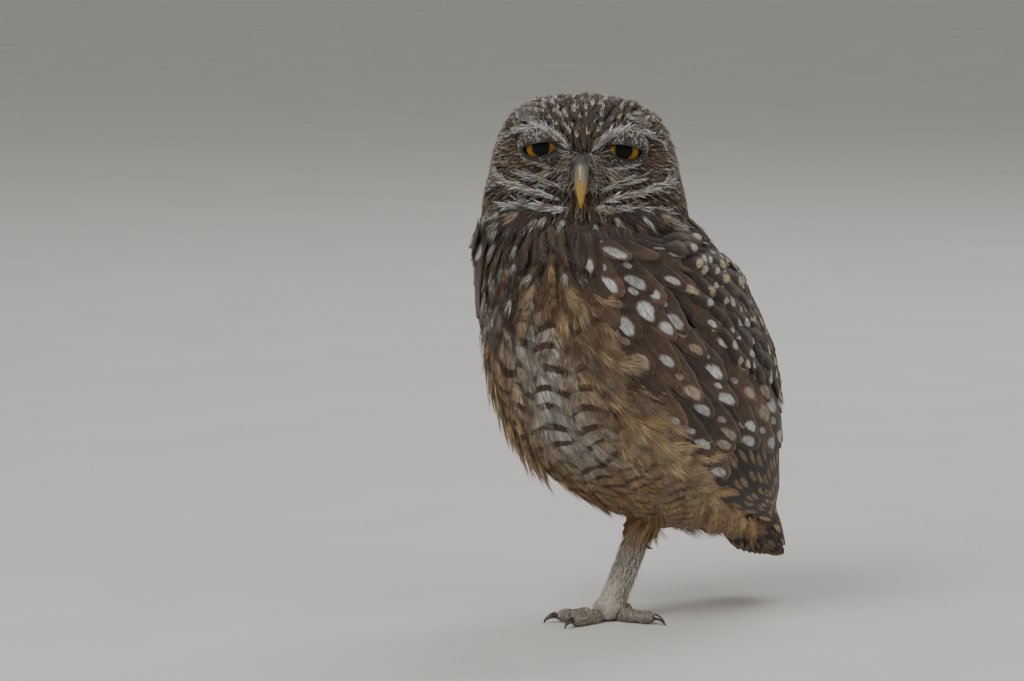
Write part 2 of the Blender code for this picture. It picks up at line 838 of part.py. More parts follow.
def toe_tube(label, name, finish=None, grow=0.0):
    """One toe with its row of pads, flat along the floor."""
    ahead = toe_heading(name)
    steps = 9
    points = []
    radii = []
    for i in range(steps):
        share = i / (steps - 1)
        knuckle = 1 + 0.10 * math.cos(share * math.pi * 5)
        end_round = 0.55 if i == steps - 1 else 1.0
        spot = ahead * (TOE_START + TOES[name][1] * share)
        spot.z = TOE_RADIUS * 0.86
        points.append(spot)
        radii.append((TOE_RADIUS - 0.0006 * share) * knuckle * end_round + grow)
    return tube(label, points, radii, finish, 12, -grow)


def make_foot(toe_finish, claw_finish, feather_finish):
    """The foot's pad with four separate toes and claws, flat on the floor."""
    made = [foot_pad("foot_left", feather_finish)]
    earlier = []
    for name in TOES:
        toe = toe_tube(f"toe_{name}_left", name, toe_finish)
        cutters = [foot_pad("pad_cutter", None, GAP)]
        cutters += [toe_tube("toe_cutter", other, None, GAP) for other in earlier]
        combine(toe, cutters, "DIFFERENCE")
        earlier.append(name)
        made.append(toe)
        end = toe_heading(name) * (TOE_START + TOES[name][1])
        made.append(make_claw(f"claw_{name}_left", end, toe_heading(name), claw_finish))
    return made


def make_claw(name, toe_end, ahead, finish):
    """A curved black claw that springs from the toe's end and points down."""
    points = []
    radii = []
    steps = 7
    for i in range(steps):
        share = i / (steps - 1)
        turn = share * math.radians(78)
        radius = CLAW_LENGTH / math.radians(78)
        forward = radius * math.sin(turn) * 0.82
        drop = radius * (1 - math.cos(turn)) * 0.62
        spot = toe_end + ahead * (GAP + forward) + Vector((0, 0, TOE_RADIUS - drop))
        points.append(spot)
        radii.append(0.00125 * (1 - share) + 0.00022)
    return tube(name, points, radii, finish, 7)


def make_tucked_leg(finish, toe_finish, claw_finish):
    """The other leg, drawn up into the belly feathers: a folded shank, toes and claws."""
    middle = TUCKED_HEEL.lerp(TUCKED_FOOT, 0.5) - Vector((0, 0, 0.0012))
    points = curve_points((TUCKED_HEEL, middle, TUCKED_FOOT), 7)
    radii = [0.0038, 0.0052, 0.0053, 0.0050, 0.0050, 0.0052, 0.0050]
    made = [tube("shank_right", points, radii, finish, 12)]
    ahead = (TUCKED_FOOT - TUCKED_HEEL).normalized()
    start = TUCKED_FOOT + ahead * 0.0009
    pad_points = [start + ahead * reach for reach in (0.0, 0.0012, 0.0035, 0.0055)]
    made.append(tube("foot_right", pad_points, [0.0042, 0.0050, 0.0050, 0.0036], finish, 16))
    for i, name in enumerate(("inner", "middle", "outer")):
        aside = Vector((TUCKED_SPREAD * (1 - i), 0.0, 0.0))
        knuckle = start + ahead * 0.0064 + aside * 0.9
        bend = knuckle + Vector((0, -0.0050, -0.0020)) + aside * 0.3
        tip = bend + Vector((0, 0.0012, -0.0050))
        points = curve_points((knuckle, bend, tip), 7)
        radii = [TOE_RADIUS * r for r in (0.45, 0.55, 0.58, 0.58, 0.55, 0.52, 0.36)]
        made.append(tube(f"toe_{name}_right", points, radii, toe_finish, 10))
        curl = (tip + Vector((0, 0.0002, -GAP - 0.0004)), tip + Vector((0, 0.0014, -0.0026)))
        points = curve_points((*curl, tip + Vector((0, 0.0046, -0.0036))), 6)
        radii = [0.0009, 0.00095, 0.0008, 0.0006, 0.0004, 0.0002]
        made.append(tube(f"claw_{name}_right", points, radii, claw_finish, 8))
    for piece in made:
        combine(piece, [body_cutter()], "DIFFERENCE")
    return made


def main():
    remove_all()
    brown = material("spotted_brown_feather", FEATHER_BROWN, 0.85)
    buff = material("barred_buff_feather", BREAST_BUFF, 0.9)
    white = material("leg_feather", LEG_WHITE, 0.9)
    grey = material("toe_skin", TOE_GREY, 0.7)
    black = material("claw_horn", CLAW_BLACK, 0.35)
    yellow = material("beak_horn", BEAK_YELLOW, 0.4)
    amber = material("eye", EYE_AMBER, 0.1)

    made = [make_torso(buff), make_neck(brown), make_head(brown)]
    made += make_beak(yellow)
    for side in (1, -1):
        made.append(make_eye(side, amber))
        wing = make_wing(side, brown)
        combine(wing, [body_cutter(), tail_cutter()], "DIFFERENCE", "MANIFOLD")
        made.append(wing)
    tail = make_tail(brown)
    combine(tail, [body_cutter()], "DIFFERENCE", "MANIFOLD")
    made.append(tail)
    made.append(make_thigh(buff))
    made.append(make_shank(white))
    made += make_foot(grey, black, white)
    made += make_tucked_leg(white, grey, black)
    for obj in made:
        shade(obj)


if __name__ == "__main__":
    main()
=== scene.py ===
import math

import bpy
import numpy as np
from bpy.props import FloatProperty, FloatVectorProperty, IntProperty, PointerProperty
from mathutils import Matrix, Vector


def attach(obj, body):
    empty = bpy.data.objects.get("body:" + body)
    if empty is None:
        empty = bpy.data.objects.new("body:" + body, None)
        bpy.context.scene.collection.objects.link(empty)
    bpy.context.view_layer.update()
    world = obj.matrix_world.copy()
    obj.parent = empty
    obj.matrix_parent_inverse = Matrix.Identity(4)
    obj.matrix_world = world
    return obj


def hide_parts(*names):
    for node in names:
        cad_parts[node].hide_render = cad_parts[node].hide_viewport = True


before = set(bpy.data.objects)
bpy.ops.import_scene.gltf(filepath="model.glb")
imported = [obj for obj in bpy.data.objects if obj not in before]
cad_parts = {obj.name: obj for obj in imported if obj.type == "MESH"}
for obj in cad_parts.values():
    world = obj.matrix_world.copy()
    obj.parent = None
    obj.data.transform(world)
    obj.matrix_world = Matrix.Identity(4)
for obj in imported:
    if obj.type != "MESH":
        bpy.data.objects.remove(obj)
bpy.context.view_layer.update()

bl_info = {
    "name": "Burrowing owl",
    "version": (1, 0, 0),
    "blender": (4, 5, 0),
    "location": "3D View > Sidebar > Owl",
    "description": "A burrowing owl at rest on one foot, with feathers as solid mesh",
    "category": "Add Mesh",
}

# Sizes that the feathers share with the solids, in metres
HEAD_YAW = math.radians(39)
HEAD_ROLL = math.radians(1.5)
HEAD_CENTRE = np.array((0.0, -0.0148, 0.183))
SKULL_EXPONENT = 2.25
EYE_RADIUS = 0.0078
EYE_SPACING = 0.0325
EYE_FORWARD = 0.0208
EYE_FLATNESS = 0.62
EYE_RISE = 0.0074
EYE_SPLAY = math.radians(9)
EYE_PITCH = math.radians(-3)
EYE_SLIT_WIDTH = 0.0130
EYE_SLIT_HEIGHT = 0.0058
EYE_SLIT_TILT = math.radians(11)
BEAK_ROOT = np.array((0.0, 0.0258, 0.0030))
BODY_EXPONENT = 2.15
WING_DEPTH = 0.0046
WING_EDGE = 0.0012
WING_FIRST = 0.35
WING_CORE_LAST = 9.3
TAIL_LENGTH = 0.074
TAIL_ROOT = np.array((0.0, 0.0525, 0.0735))
TAIL_TIP = np.array((0.0, 0.0955, 0.0185))
TAIL_HALF_WIDTH = 0.0150
ANKLE = np.array((0.0025, 0.0190, 0.0400))
FOOT_TOP = np.array((0.0000, 0.0012, 0.0085))
THIGH_RADIUS = 0.0165
HIP = np.array((0.0070, 0.0160, 0.0640))
ANKLE_RADIUS = 0.0072
SHANK_RADIUS = 0.0054

# Sizes of the coat's own, in metres, and counts of its grids
FACE_FRONT = 0.004
WING_SIDE = 0.0445
TUFT_PATCH = 0.003
PLATE_ROWS = 15
PLATE_COLUMNS = 7
PLATE_THICKNESS = 0.00028
SPREAD_ROWS = 120
SPREAD_COLUMNS = 240

# The lids' skin starts at this many times the opening between them
LID_START = 1.12

# Names of material slots, which the coats are passed but do not use
SPOTTED = "spotted_brown_feather"
BARRED = "barred_buff_feather"

# Body stations from the collar down: front y z, back y z, half width
BODY_TABLE = np.array((
    (-0.0500, 0.1605, 0.0245, 0.1625, 0.0394),
    (-0.0530, 0.1500, 0.0350, 0.1560, 0.0402),
    (-0.0555, 0.1370, 0.0460, 0.1465, 0.0408),
    (-0.0565, 0.1200, 0.0570, 0.1310, 0.0418),
    (-0.0535, 0.1005, 0.0672, 0.1130, 0.0430),
    (-0.0440, 0.0820, 0.0728, 0.0940, 0.0430),
    (-0.0270, 0.0650, 0.0758, 0.0760, 0.0405),
    (-0.0050, 0.0500, 0.0785, 0.0600, 0.0338),
    (0.0190, 0.0410, 0.0825, 0.0480, 0.0265),
    (0.0420, 0.0362, 0.0865, 0.0390, 0.0195),
    (0.0640, 0.0300, 0.0935, 0.0310, 0.0155),
    (0.0760, 0.0210, 0.0975, 0.0215, 0.0130),
))
STATIONS = np.arange(len(BODY_TABLE))

# Head levels from the bottom up: height, half width, front depth, back depth
HEAD_TABLE = np.array((
    (-0.0180, 0.0394, 0.0330, 0.0365),
    (-0.0130, 0.0392, 0.0332, 0.0365),
    (-0.0060, 0.0379, 0.0312, 0.0360),
    (0.0030, 0.0357, 0.0292, 0.0345),
    (0.0110, 0.0332, 0.0272, 0.0318),
    (0.0180, 0.0292, 0.0232, 0.0278),
    (0.0235, 0.0228, 0.0170, 0.0218),
    (0.0270, 0.0138, 0.0096, 0.0134),
    (0.0280, 0.0010, 0.0010, 0.0010),
))

# Wing edges on the body: station, lower and upper angle from the breast's midline
WING_EDGES = np.array((
    (0.35, 36.0, 64.0),
    (1.2, 40.0, 104.0),
    (2.7, 48.0, 137.0),
    (4.2, 59.0, 153.0),
    (5.2, 66.0, 159.0),
    (6.2, 73.0, 163.0),
    (7.1, 77.0, 166.0),
    (8.0, 82.0, 168.0),
    (9.0, 98.0, 170.0),
    (10.4, 125.0, 172.0),
))

# Pale lines of the face: distance from its middle and height over the head's centre
BROW_LINE = ((0.0045, 0.0072), (0.0100, 0.0122), (0.0160, 0.0150), (0.0245, 0.0138))
PATCH_LINE = ((0.0175, 0.0188), (0.0230, 0.0182))
CHEEK_LINE = ((0.0075, -0.0125), (0.0165, -0.0098), (0.0250, -0.0070), (0.0335, -0.0055))
WHISKER_LINE = ((0.0060, -0.0085), (0.0140, -0.0055), (0.0225, -0.0035))
THROAT_LINE = (
    (0.0040, -0.0155), (0.0125, -0.0150), (0.0220, -0.0146), (0.0310, -0.0156), (0.0375, -0.0180),
)
RIM_LINE = ((0.0300, 0.0160), (0.0330, 0.0080), (0.0355, -0.0020), (0.0370, -0.0100))
EYE_BAG_LINE = ((0.0130, 0.0002), (0.0180, 0.0006), (0.0225, 0.0022))
LORE_LINE = ((0.0045, 0.0034), (0.0100, -0.0004), (0.0160, -0.0030))

# Helpers

outer = np.multiply.outer


def unit(vectors):
    """Directions of length one."""
    return vectors / np.maximum(np.linalg.norm(vectors, axis=-1, keepdims=True), 1e-9)


def flat_on(vectors, up):
    """Directions laid flat on a surface with these normals."""
    return unit(vectors - up * np.sum(vectors * up, axis=1)[:, None])


def bump(distance, width):
    """1 at no distance, fading over the width."""
    return np.exp(-((distance / width) ** 2))


def ease(value, low, high):
    """A smooth rise from 0 at low to 1 at high."""
    share = np.clip((value - low) / (high - low), 0.0, 1.0)
    return share * share * (3 - 2 * share)


def rounded(value, exponent):
    """A sine or cosine drawn out for a superellipse."""
    return np.sign(value) * np.abs(value) ** (2 / exponent)


def rows_at(table, place):
    """Smooth values between a table's rows, at places counted in rows."""
    place = np.clip(place, 0.0, len(table) - 1.0)
    low = np.minimum(place.astype(int), len(table) - 2)
    share = (place - low)[:, None]
    before = table[np.maximum(low - 1, 0)]
    here = table[low]
    there = table[low + 1]
    after = table[np.minimum(low + 2, len(table) - 1)]
    slope1 = (there - before) / 2
    slope2 = (after - here) / 2
    a = 2 * here - 2 * there + slope1 + slope2
    b = -3 * here + 3 * there - 2 * slope1 - slope2
    return ((a * share + b) * share + slope1) * share + here


def line_distance(x, y, line):
    """How far places are from a bent line in the same plane."""
    best = np.full(np.shape(x), 1.0)
    for (x0, y0), (x1, y1) in zip(line, line[1:]):
        along = ((x - x0) * (x1 - x0) + (y - y0) * (y1 - y0)) / ((x1 - x0) ** 2 + (y1 - y0) ** 2)
        along = np.clip(along, 0.0, 1.0)
        best = np.minimum(best, np.hypot(x - x0 - along * (x1 - x0), y - y0 - along * (y1 - y0)))
    return best


def paint(colours, weight, colour):
    """Lays a colour over others by weight."""
    weight = np.clip(weight, 0.0, 1.0)[:, None]
    return colours * (1 - weight) + np.asarray(colour) * weight


def ink(name):
    """One of the feather colours, as an array."""
    return np.array(getattr(bpy.context.scene.owl_plumage, name))


def blend(first, second, share):
    """A mix of colours, all first where the share is 1."""
    return first * share + second * (1 - share)


def vary(colours, draw, low, high, count):
    """Makes each feather's colour darker or lighter by chance."""
    return colours * draw.uniform(low, high, count)[:, None]


def chance(draw, share, count):
    """Chooses about this share of the feathers, as a column of truths."""
    return (draw.random(count) < share)[:, None]


# Surfaces


def body_xyz(station, angle, grow=0.0):
    """Places on the body; angle 0 is the breast, and it turns to the bird's left."""
    front_y, front_z, back_y, back_z, half = rows_at(BODY_TABLE, station).T
    middle_y = (front_y + back_y) / 2
    middle_z = (front_z + back_z) / 2
    ahead_y = (front_y - back_y) / 2
    ahead_z = (front_z - back_z) / 2
    depth = np.hypot(ahead_y, ahead_z)
    across = rounded(np.sin(angle), BODY_EXPONENT) * (half + grow)
    along = rounded(np.cos(angle), BODY_EXPONENT) * (depth + grow) / depth
    return np.stack((across, middle_y + ahead_y * along, middle_z + ahead_z * along), axis=1)

def head_to_world(left, forward, up):
    """Places in the part's own frame, from left, forward and up of the head's centre."""
    ahead = np.array((math.sin(HEAD_YAW), -math.cos(HEAD_YAW), 0.0))
    aside = np.array((math.cos(HEAD_YAW), math.sin(HEAD_YAW), -math.sin(HEAD_ROLL)))
    return HEAD_CENTRE + outer(forward, ahead) + outer(left, aside) + outer(up, (0.0, 0.0, 1.0))


def head_local(points):
    """Left, forward and up from the head's centre."""
    moved = points - HEAD_CENTRE
    forward = moved[:, 0] * math.sin(HEAD_YAW) - moved[:, 1] * math.cos(HEAD_YAW)
    left = moved[:, 0] * math.cos(HEAD_YAW) + moved[:, 1] * math.sin(HEAD_YAW)
    return left, forward, moved[:, 2] + left * math.sin(HEAD_ROLL)


def head_turn(vectors):
    """Turns directions from left, forward and up into the part's own frame."""
    return head_to_world(vectors[:, 0], vectors[:, 1], vectors[:, 2]) - HEAD_CENTRE


def from_eye(left, up):
    """How far places of the face are from the middle of the nearer eye, seen from the front."""
    return np.hypot(np.abs(left) - EYE_SPACING / 2, up - EYE_RISE)


def face_relief(left, forward, up):
    """How far the face stands out: hollow discs round the eyes, a raised brow and rim."""
    side = np.abs(left)
    from_eye = np.hypot(side - EYE_SPACING / 2, (up - EYE_RISE) * 1.05)
    hollow = -0.0034 * bump(from_eye, 0.0085)
    brow_top = EYE_RISE + 0.0072 - 0.0050 * bump(side, 0.0080)
    brow = 0.0030 * bump(up - brow_top, 0.0036) * bump(np.maximum(side - 0.020, 0.0), 0.0070)
    rim = 0.0014 * bump(from_eye - 0.0190, 0.0030) * np.where(up < 0.006, 1.0, 0.35)
    bridge = 0.0020 * bump(side, 0.0048) * bump(up - 0.0050, 0.0090)
    return (hollow + brow + rim + bridge) * np.clip((forward - 0.004) / 0.010, 0.0, 1.0)


def head_xyz(level, angle, grow=0.0):
    """Places on the head; angle 0 is straight ahead, and it turns to the bird's left."""
    up, half, front, back = rows_at(HEAD_TABLE, level).T
    depth = np.where(np.cos(angle) > 0, front, back)
    left = rounded(np.sin(angle), SKULL_EXPONENT) * half
    forward = rounded(np.cos(angle), SKULL_EXPONENT) * depth
    stand = face_relief(left, forward, up) + grow
    scale = 1 + stand / np.maximum(np.hypot(left, forward), 0.004)
    lifted = up + grow * np.clip(level - 5, 0, 2) / 2
    return head_to_world(left * scale, forward * scale, lifted)


def wing_edges_at(station):
    """The wing's lower and upper edge at a station, as angles."""
    keys = WING_EDGES[:, 0]
    place = np.interp(station, keys, np.arange(len(keys)))
    low = np.minimum(place.astype(int), len(keys) - 2)
    share = place - low
    share = share * share * (3 - 2 * share) * 0.4 + share * 0.6
    rows = WING_EDGES[:, 1:]
    both = rows[low] + (rows[low + 1] - rows[low]) * share[:, None]
    return np.radians(both[:, 0]), np.radians(both[:, 1])


def wing_rise(station, share):
    """The wing's thickness over the body."""
    across = np.sin(np.pi * np.clip(share, 0.0, 1.0)) ** 0.55
    start = np.clip((station - WING_FIRST) / 0.8, 0.0, 1.0) ** 0.6
    end = np.clip((WING_CORE_LAST + 0.6 - station) / 2.2, 0.0, 1.0)
    return WING_EDGE + (WING_DEPTH - WING_EDGE) * across * start * end


def wing_xyz(side, station, share, height):
    """Places over the folded wing: share 0 is its lower edge and 1 its upper edge."""
    low, high = wing_edges_at(station)
    angle = low + (high - low) * share
    return body_xyz(station, angle * side, wing_rise(station, share) + height)


def surface_frame(surface, first, second, outward, *grow):
    """Place, normal and direction of growing first on a surface."""
    step = 0.004
    here = surface(first, second, *grow)
    along = unit(surface(first + step, second, *grow) - surface(first - step, second, *grow))
    across = unit(surface(first, second + step, *grow) - surface(first, second - step, *grow))
    return here, unit(np.cross(along, across)) * outward, along


NEIGHBOURS = [(x, y, z) for x in (0, -1, 1) for y in (0, -1, 1) for z in (0, -1, 1)]


def spread(surface, first, second, spacing, draw, allowed=None):
    """Random places on a surface, none closer to another than the spacing."""
    rows = np.linspace(*first, SPREAD_ROWS + 1)
    columns = np.linspace(*second, SPREAD_COLUMNS + 1)
    grid_a, grid_b = np.meshgrid(rows, columns, indexing="ij")
    points = surface(grid_a.ravel(), grid_b.ravel()).reshape(*grid_a.shape, 3)
    down = points[1:, :-1] - points[:-1, :-1]
    across = points[:-1, 1:] - points[:-1, :-1]
    area = np.linalg.norm(np.cross(down, across), axis=2)
    count = int(area.sum() / spacing ** 2 * 3.2)
    cell = draw.choice(area.size, count, p=area.ravel() / area.sum())
    a = rows[cell // SPREAD_COLUMNS] + draw.random(count) * (rows[1] - rows[0])
    b = columns[cell % SPREAD_COLUMNS] + draw.random(count) * (columns[1] - columns[0])
    if allowed is not None:
        good = allowed(a, b)
        a = a[good]
        b = b[good]
    spots = surface(a, b)
    cells = np.floor(spots / spacing).astype(int)
    taken = {}
    kept = []
    for i, ((x, y, z), spot) in enumerate(zip(cells.tolist(), spots.tolist())):
        near = [other for p, q, r in NEIGHBOURS for other in taken.get((x + p, y + q, z + r), ())]
        if all(math.dist(other, spot) >= spacing for other in near):
            taken.setdefault((x, y, z), []).append(spot)
            kept.append(i)
    return a[kept], b[kept]


# Meshes


def colour_layer(mesh, name, colours):
    """Writes a colour for each vertex."""
    four = np.ones((len(mesh.vertices), 4), dtype=np.float32)
    four[:, :3] = colours
    mesh.color_attributes.new(name, "FLOAT_COLOR", "POINT").data.foreach_set("color", four.ravel())


def number_layer(mesh, name, values):
    """Writes a number for each vertex."""
    mesh.attributes.new(name, "FLOAT", "POINT").data.foreach_set("value", values.astype(np.float32))


def read_points(mesh):
    """The places of a mesh's vertices."""
    points = np.empty(len(mesh.vertices) * 3, dtype=np.float32)
    mesh.vertices.foreach_get("co", points)
    return points.reshape(-1, 3)


def move_points(mesh, points):
    """Puts a mesh's vertices at new places."""
    mesh.vertices.foreach_set("co", points.ravel())
    mesh.update()


def mesh_object(name, points, faces, finish):
    """A new object from arrays of points and triangles."""
    mesh = bpy.data.meshes.new(name)
    mesh.vertices.add(len(points))
    mesh.vertices.foreach_set("co", points.astype(np.float32).ravel())
    mesh.loops.add(faces.size)
    mesh.loops.foreach_set("vertex_index", faces.astype(np.int32).ravel())
    mesh.polygons.add(len(faces))
    mesh.polygons.foreach_set("loop_start", np.arange(0, faces.size, 3, dtype=np.int32))
    mesh.update(calc_edges=True)
    mesh.shade_smooth()
    mesh.materials.append(finish)
    obj = bpy.data.objects.new(name, mesh)
    bpy.context.scene.collection.objects.link(obj)
    return obj


def mount(obj, replaced=()):
    """Names an object's body, and hides the solids it stands for."""
    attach(obj, "root")
    if replaced:
        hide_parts(*replaced)


def ring_faces(rows, columns):
    """The triangles between rings of points, which turn the same way as the rings."""
    faces = []
    for i in range(rows - 1):
        for j in range(columns):
            k = (j + 1) % columns
            a = i * columns
            b = a + columns
            faces.append((a + j, a + k, b + k))
            faces.append((a + j, b + k, b + j))
    return faces


def closed_piece(name, rings, turned=False):
    """A closed object from rings of points, its ends drawn to their middles."""
    points = np.array(rings)
    rows, columns = points.shape[:2]
    faces = ring_faces(rows, columns)
    ends = []
    for row, flip in ((0, True), (rows - 1, False)):
        middle = rows * columns + len(ends)
        ends.append(points[row].mean(axis=0))
        for j in range(columns):
            here = row * columns + j
            there = row * columns + (j + 1) % columns
            faces.append((there, here, middle) if flip else (here, there, middle))
    faces = np.array(faces)
    if turned:
        faces = faces[:, ::-1]
    return mesh_object(name, np.concatenate((points.reshape(-1, 3), ends)), faces, None)


# Feathers


class Coat:
    """Gathers closed blades and plates, and makes them one mesh."""

    def __init__(self):
        self.points = []
        self.faces = []
        self.fields = {}
        self.total = 0

    def add(self, points, faces, vane, bake, ground, mark, tone, band=None):
        """points and vane hold a row for each vertex of each feather, the rest one a feather."""
        count, size = points.shape[:2]
        starts = self.total + np.arange(count) * size
        self.faces.append((faces[None] + starts[:, None, None]).reshape(-1, 3))
        self.points.append(points.reshape(-1, 3))
        fields = {
            "Vane": vane.reshape(-1, 2),
            "OFBake": (bake[:, None] + TUFT_PATCH * (vane - 0.5)).reshape(-1, 2),
            "Ground": np.repeat(ground, size, axis=0),
            "Mark": np.repeat(mark, size, axis=0),
            "Tone": np.repeat(tone, size),
            "Band": np.zeros(count * size) if band is None else band.reshape(-1),
        }
        for label, values in fields.items():
            self.fields.setdefault(label, []).append(values)
        self.total += count * size

    def finish(self, name, finish, slot, replaced=()):
        """Makes the mesh with its maps and attributes, and mounts it."""
        faces = np.concatenate(self.faces)
        fields = {label: np.concatenate(values) for label, values in self.fields.items()}
        obj = mesh_object(name, np.concatenate(self.points), faces, finish)
        for label in ("Vane", "OFBake"):
            layer = obj.data.uv_layers.new(name=label)
            layer.data.foreach_set("uv", fields[label][faces.ravel()].astype(np.float32).ravel())
        for label in ("Ground", "Mark"):
            colour_layer(obj.data, label, fields[label])
        for label in ("Tone", "Band"):
            number_layer(obj.data, label, fields[label])
        mount(obj, replaced)


def blade_faces(rows):
    """The triangles of a three-sided blade that closes to a tip."""
    last = 3 * (rows - 1)
    tip = [(last + i, last + (i + 1) % 3, last + 3) for i in range(3)]
    return np.array([(0, 2, 1)] + ring_faces(rows, 3) + tip)


def blade_shape(places, widths, root, along, up, length, width, lift, droop, bend, ragged, draw, arch=0.34):
    """Points of blades, one row a feather, and their places across and along as UVs."""
    count = len(root)
    aside = unit(np.cross(along, up))
    shape = []
    vane = []
    for t, wide in zip(places, widths):
        rise = length * (lift * t - droop * t * t)
        middle = root + along * (length * t)[:, None] + up * rise[:, None]
        middle = middle + aside * (length * bend * t * t)[:, None]
        for edge in (-1.0, 0.0, 1.0):
            half = width * wide * (1 + ragged * draw.uniform(-1, 1, count)) / 2
            crown = half * (arch if edge == 0 else 0.0)
            shape.append(middle + aside * (edge * half)[:, None] + up * crown[:, None])
            vane.append(np.column_stack((np.full(count, 0.5 + 0.5 * edge * wide), np.full(count, t))))
    rise = length * (lift - droop)
    shape.append(root + along * length[:, None] + up * rise[:, None] + aside * (length * bend)[:, None])
    vane.append(np.column_stack((np.full(count, 0.5), np.ones(count))))
    return np.stack(shape, axis=1), np.stack(vane, axis=1)


# A vane's rows, by their share of its length, and their share of its width
VANE_PLACES = (0.0, 0.30, 0.58, 0.80, 0.94)
VANE_WIDTHS = (0.40, 0.88, 1.00, 0.82, 0.42)
SMALL_PLACES = (0.0, 0.40, 0.78)
SMALL_WIDTHS = (0.55, 1.00, 0.70)
FINE_PLACES = (0.0,)
FINE_WIDTHS = (1.0,)
# The belly's bars: turns of their wave by metre, their curve, and the width of a column of bars
BAR_TURNS = 2 * math.pi / 0.0088
BAR_CURVE = 70.0
COLUMN = 0.0125
MERIDIAN = np.concatenate(((0.0,), np.cumsum(np.hypot(*np.diff(BODY_TABLE[:, :2], axis=0).T))))


def bars_at(points, column):
    """How far round the wave of bars places of each feather are; a bar's ends reach back up."""
    if column is None:
        return None
    station, angle = body_place(points.reshape(-1, 3))
    own = np.repeat(column, points.shape[1])
    aside = (column_at(station, angle) - own) * COLUMN
    shift = 0.0080 * (0.5 + 0.5 * np.sin(own * 12.9898 + 4.0))
    phase = np.interp(station, STATIONS, MERIDIAN) + shift
    return (BAR_TURNS * (phase - BAR_CURVE * np.minimum(aside ** 2, 0.00008))).reshape(points.shape[:2])


def column_at(station, angle):
    """Which of the belly's columns of bars a place is in, as a fraction."""
    return angle * 0.047 / COLUMN + 0.35 * np.sin(station * 1.7)


def sizes(draw, count, length, width, lift, droop, bend, scale=(1.0, 1.0, 1.0)):
    """Random lengths, widths and lifts between their limits, times a scale, one droop and random bends."""
    spans = [draw.uniform(*span, count) * times for span, times in zip((length, width, lift), scale)]
    return (*spans, np.full(count, droop), draw.normal(0.0, bend, count))


def add_feathers(coat, place, size, colours, draw, small=False, barbs=0, fan=1.0, band=None,
                 thick=0.00034, reaches=(0.20, 0.36), arch=0.34):
    """Lays one feather at each place, with loose barbs that fan from its shaft past its edge."""
    root, along, up, bake = place
    length, width, lift, droop, bend = size
    ground, mark = colours
    count = len(root)
    tone = draw.random(count)
    places = SMALL_PLACES if small else VANE_PLACES
    widths = SMALL_WIDTHS if small else VANE_WIDTHS
    # Under loose barbs the vane is shorter, narrower and darker; the darkening is painted shade beneath the
    # barbs
    cover, narrow, under = (0.86, 0.6, 0.72) if barbs > 3 else (1.0, 1.0, 1.0)
    points, vane = blade_shape(
        places, widths, root, along, up, length * cover, width * narrow, lift, droop * cover, bend * cover,
        0.16, draw, arch
    )
    vane[:, :, 1] *= cover
    coat.add(points, blade_faces(len(places)), vane, bake, ground * under, mark * under, tone,
             bars_at(points, band))
    aside = unit(np.cross(along, up))
    flat = np.zeros(count)

    def over(t, edge, high):
        rise = length * (lift * t - droop * t * t) + high
        middle = root + along * (length * t)[:, None] + up * rise[:, None]
        return middle + aside * (length * bend * t * t + edge * width / 2)[:, None]

    for i in range(barbs):
        t = 0.16 + 0.76 * ((i + draw.random(count)) / barbs)
        edge = draw.uniform(-1.0, 1.0, count)
        end = t + draw.uniform(*reaches, count)
        outline = np.interp(end, (0.3, 0.75, 1.0, 1.28), (0.9, 1.0, 0.72, 0.30)) * fan
        start = over(t, edge * 0.42, draw.uniform(0.0, 0.0003, count))
        beside = edge * outline + draw.normal(0.0, 0.10, count)
        finish = over(end, beside, draw.uniform(0.0002, 0.0008, count))
        heading = unit(finish - start)
        hair, own = blade_shape(
            FINE_PLACES, FINE_WIDTHS, start, heading, flat_on(up, heading),
            np.linalg.norm(finish - start, axis=1), thick * draw.uniform(0.7, 1.25, count),
            flat, flat, flat, 0.0, draw
        )
        inherited = np.empty_like(own)
        inherited[:, :, 0] = 0.5 + 0.5 * (edge * (0.42 + 0.5 * outline))[:, None] * 0.9
        inherited[:, :, 1] = t[:, None] + own[:, :, 1] * (end - t)[:, None]
        stripes = bars_at(hair, band)
        shade = draw.uniform(0.50, 1.46, count)[:, None]
        coat.add(hair, blade_faces(len(FINE_PLACES)), np.clip(inherited, 0.0, 1.0), bake, ground * shade,
                 mark * shade, tone, stripes)


def turn_along(along, up, angle):
    """Turns directions on a surface about its normal."""
    aside = np.cross(up, along)
    return along * np.cos(angle)[:, None] + aside * np.sin(angle)[:, None]


# Materials


class Wire:
    """A value in a material; sums with it add Math nodes."""

    def __init__(self, wiring, socket):
        self.wiring = wiring
        self.socket = socket

    def __add__(self, other):
        return self.wiring.math("ADD", self, other)

    def __sub__(self, other):
        return self.wiring.math("SUBTRACT", self, other)

    def __rsub__(self, other):
        return self.wiring.math("SUBTRACT", other, self)

    def __mul__(self, other):
        return self.wiring.math("MULTIPLY", self, other)

    def __truediv__(self, other):
        return self.wiring.math("DIVIDE", self, other)

    def __rtruediv__(self, other):
        return self.wiring.math("DIVIDE", other, self)

    def __abs__(self):
        return self.wiring.math("ABSOLUTE", self)


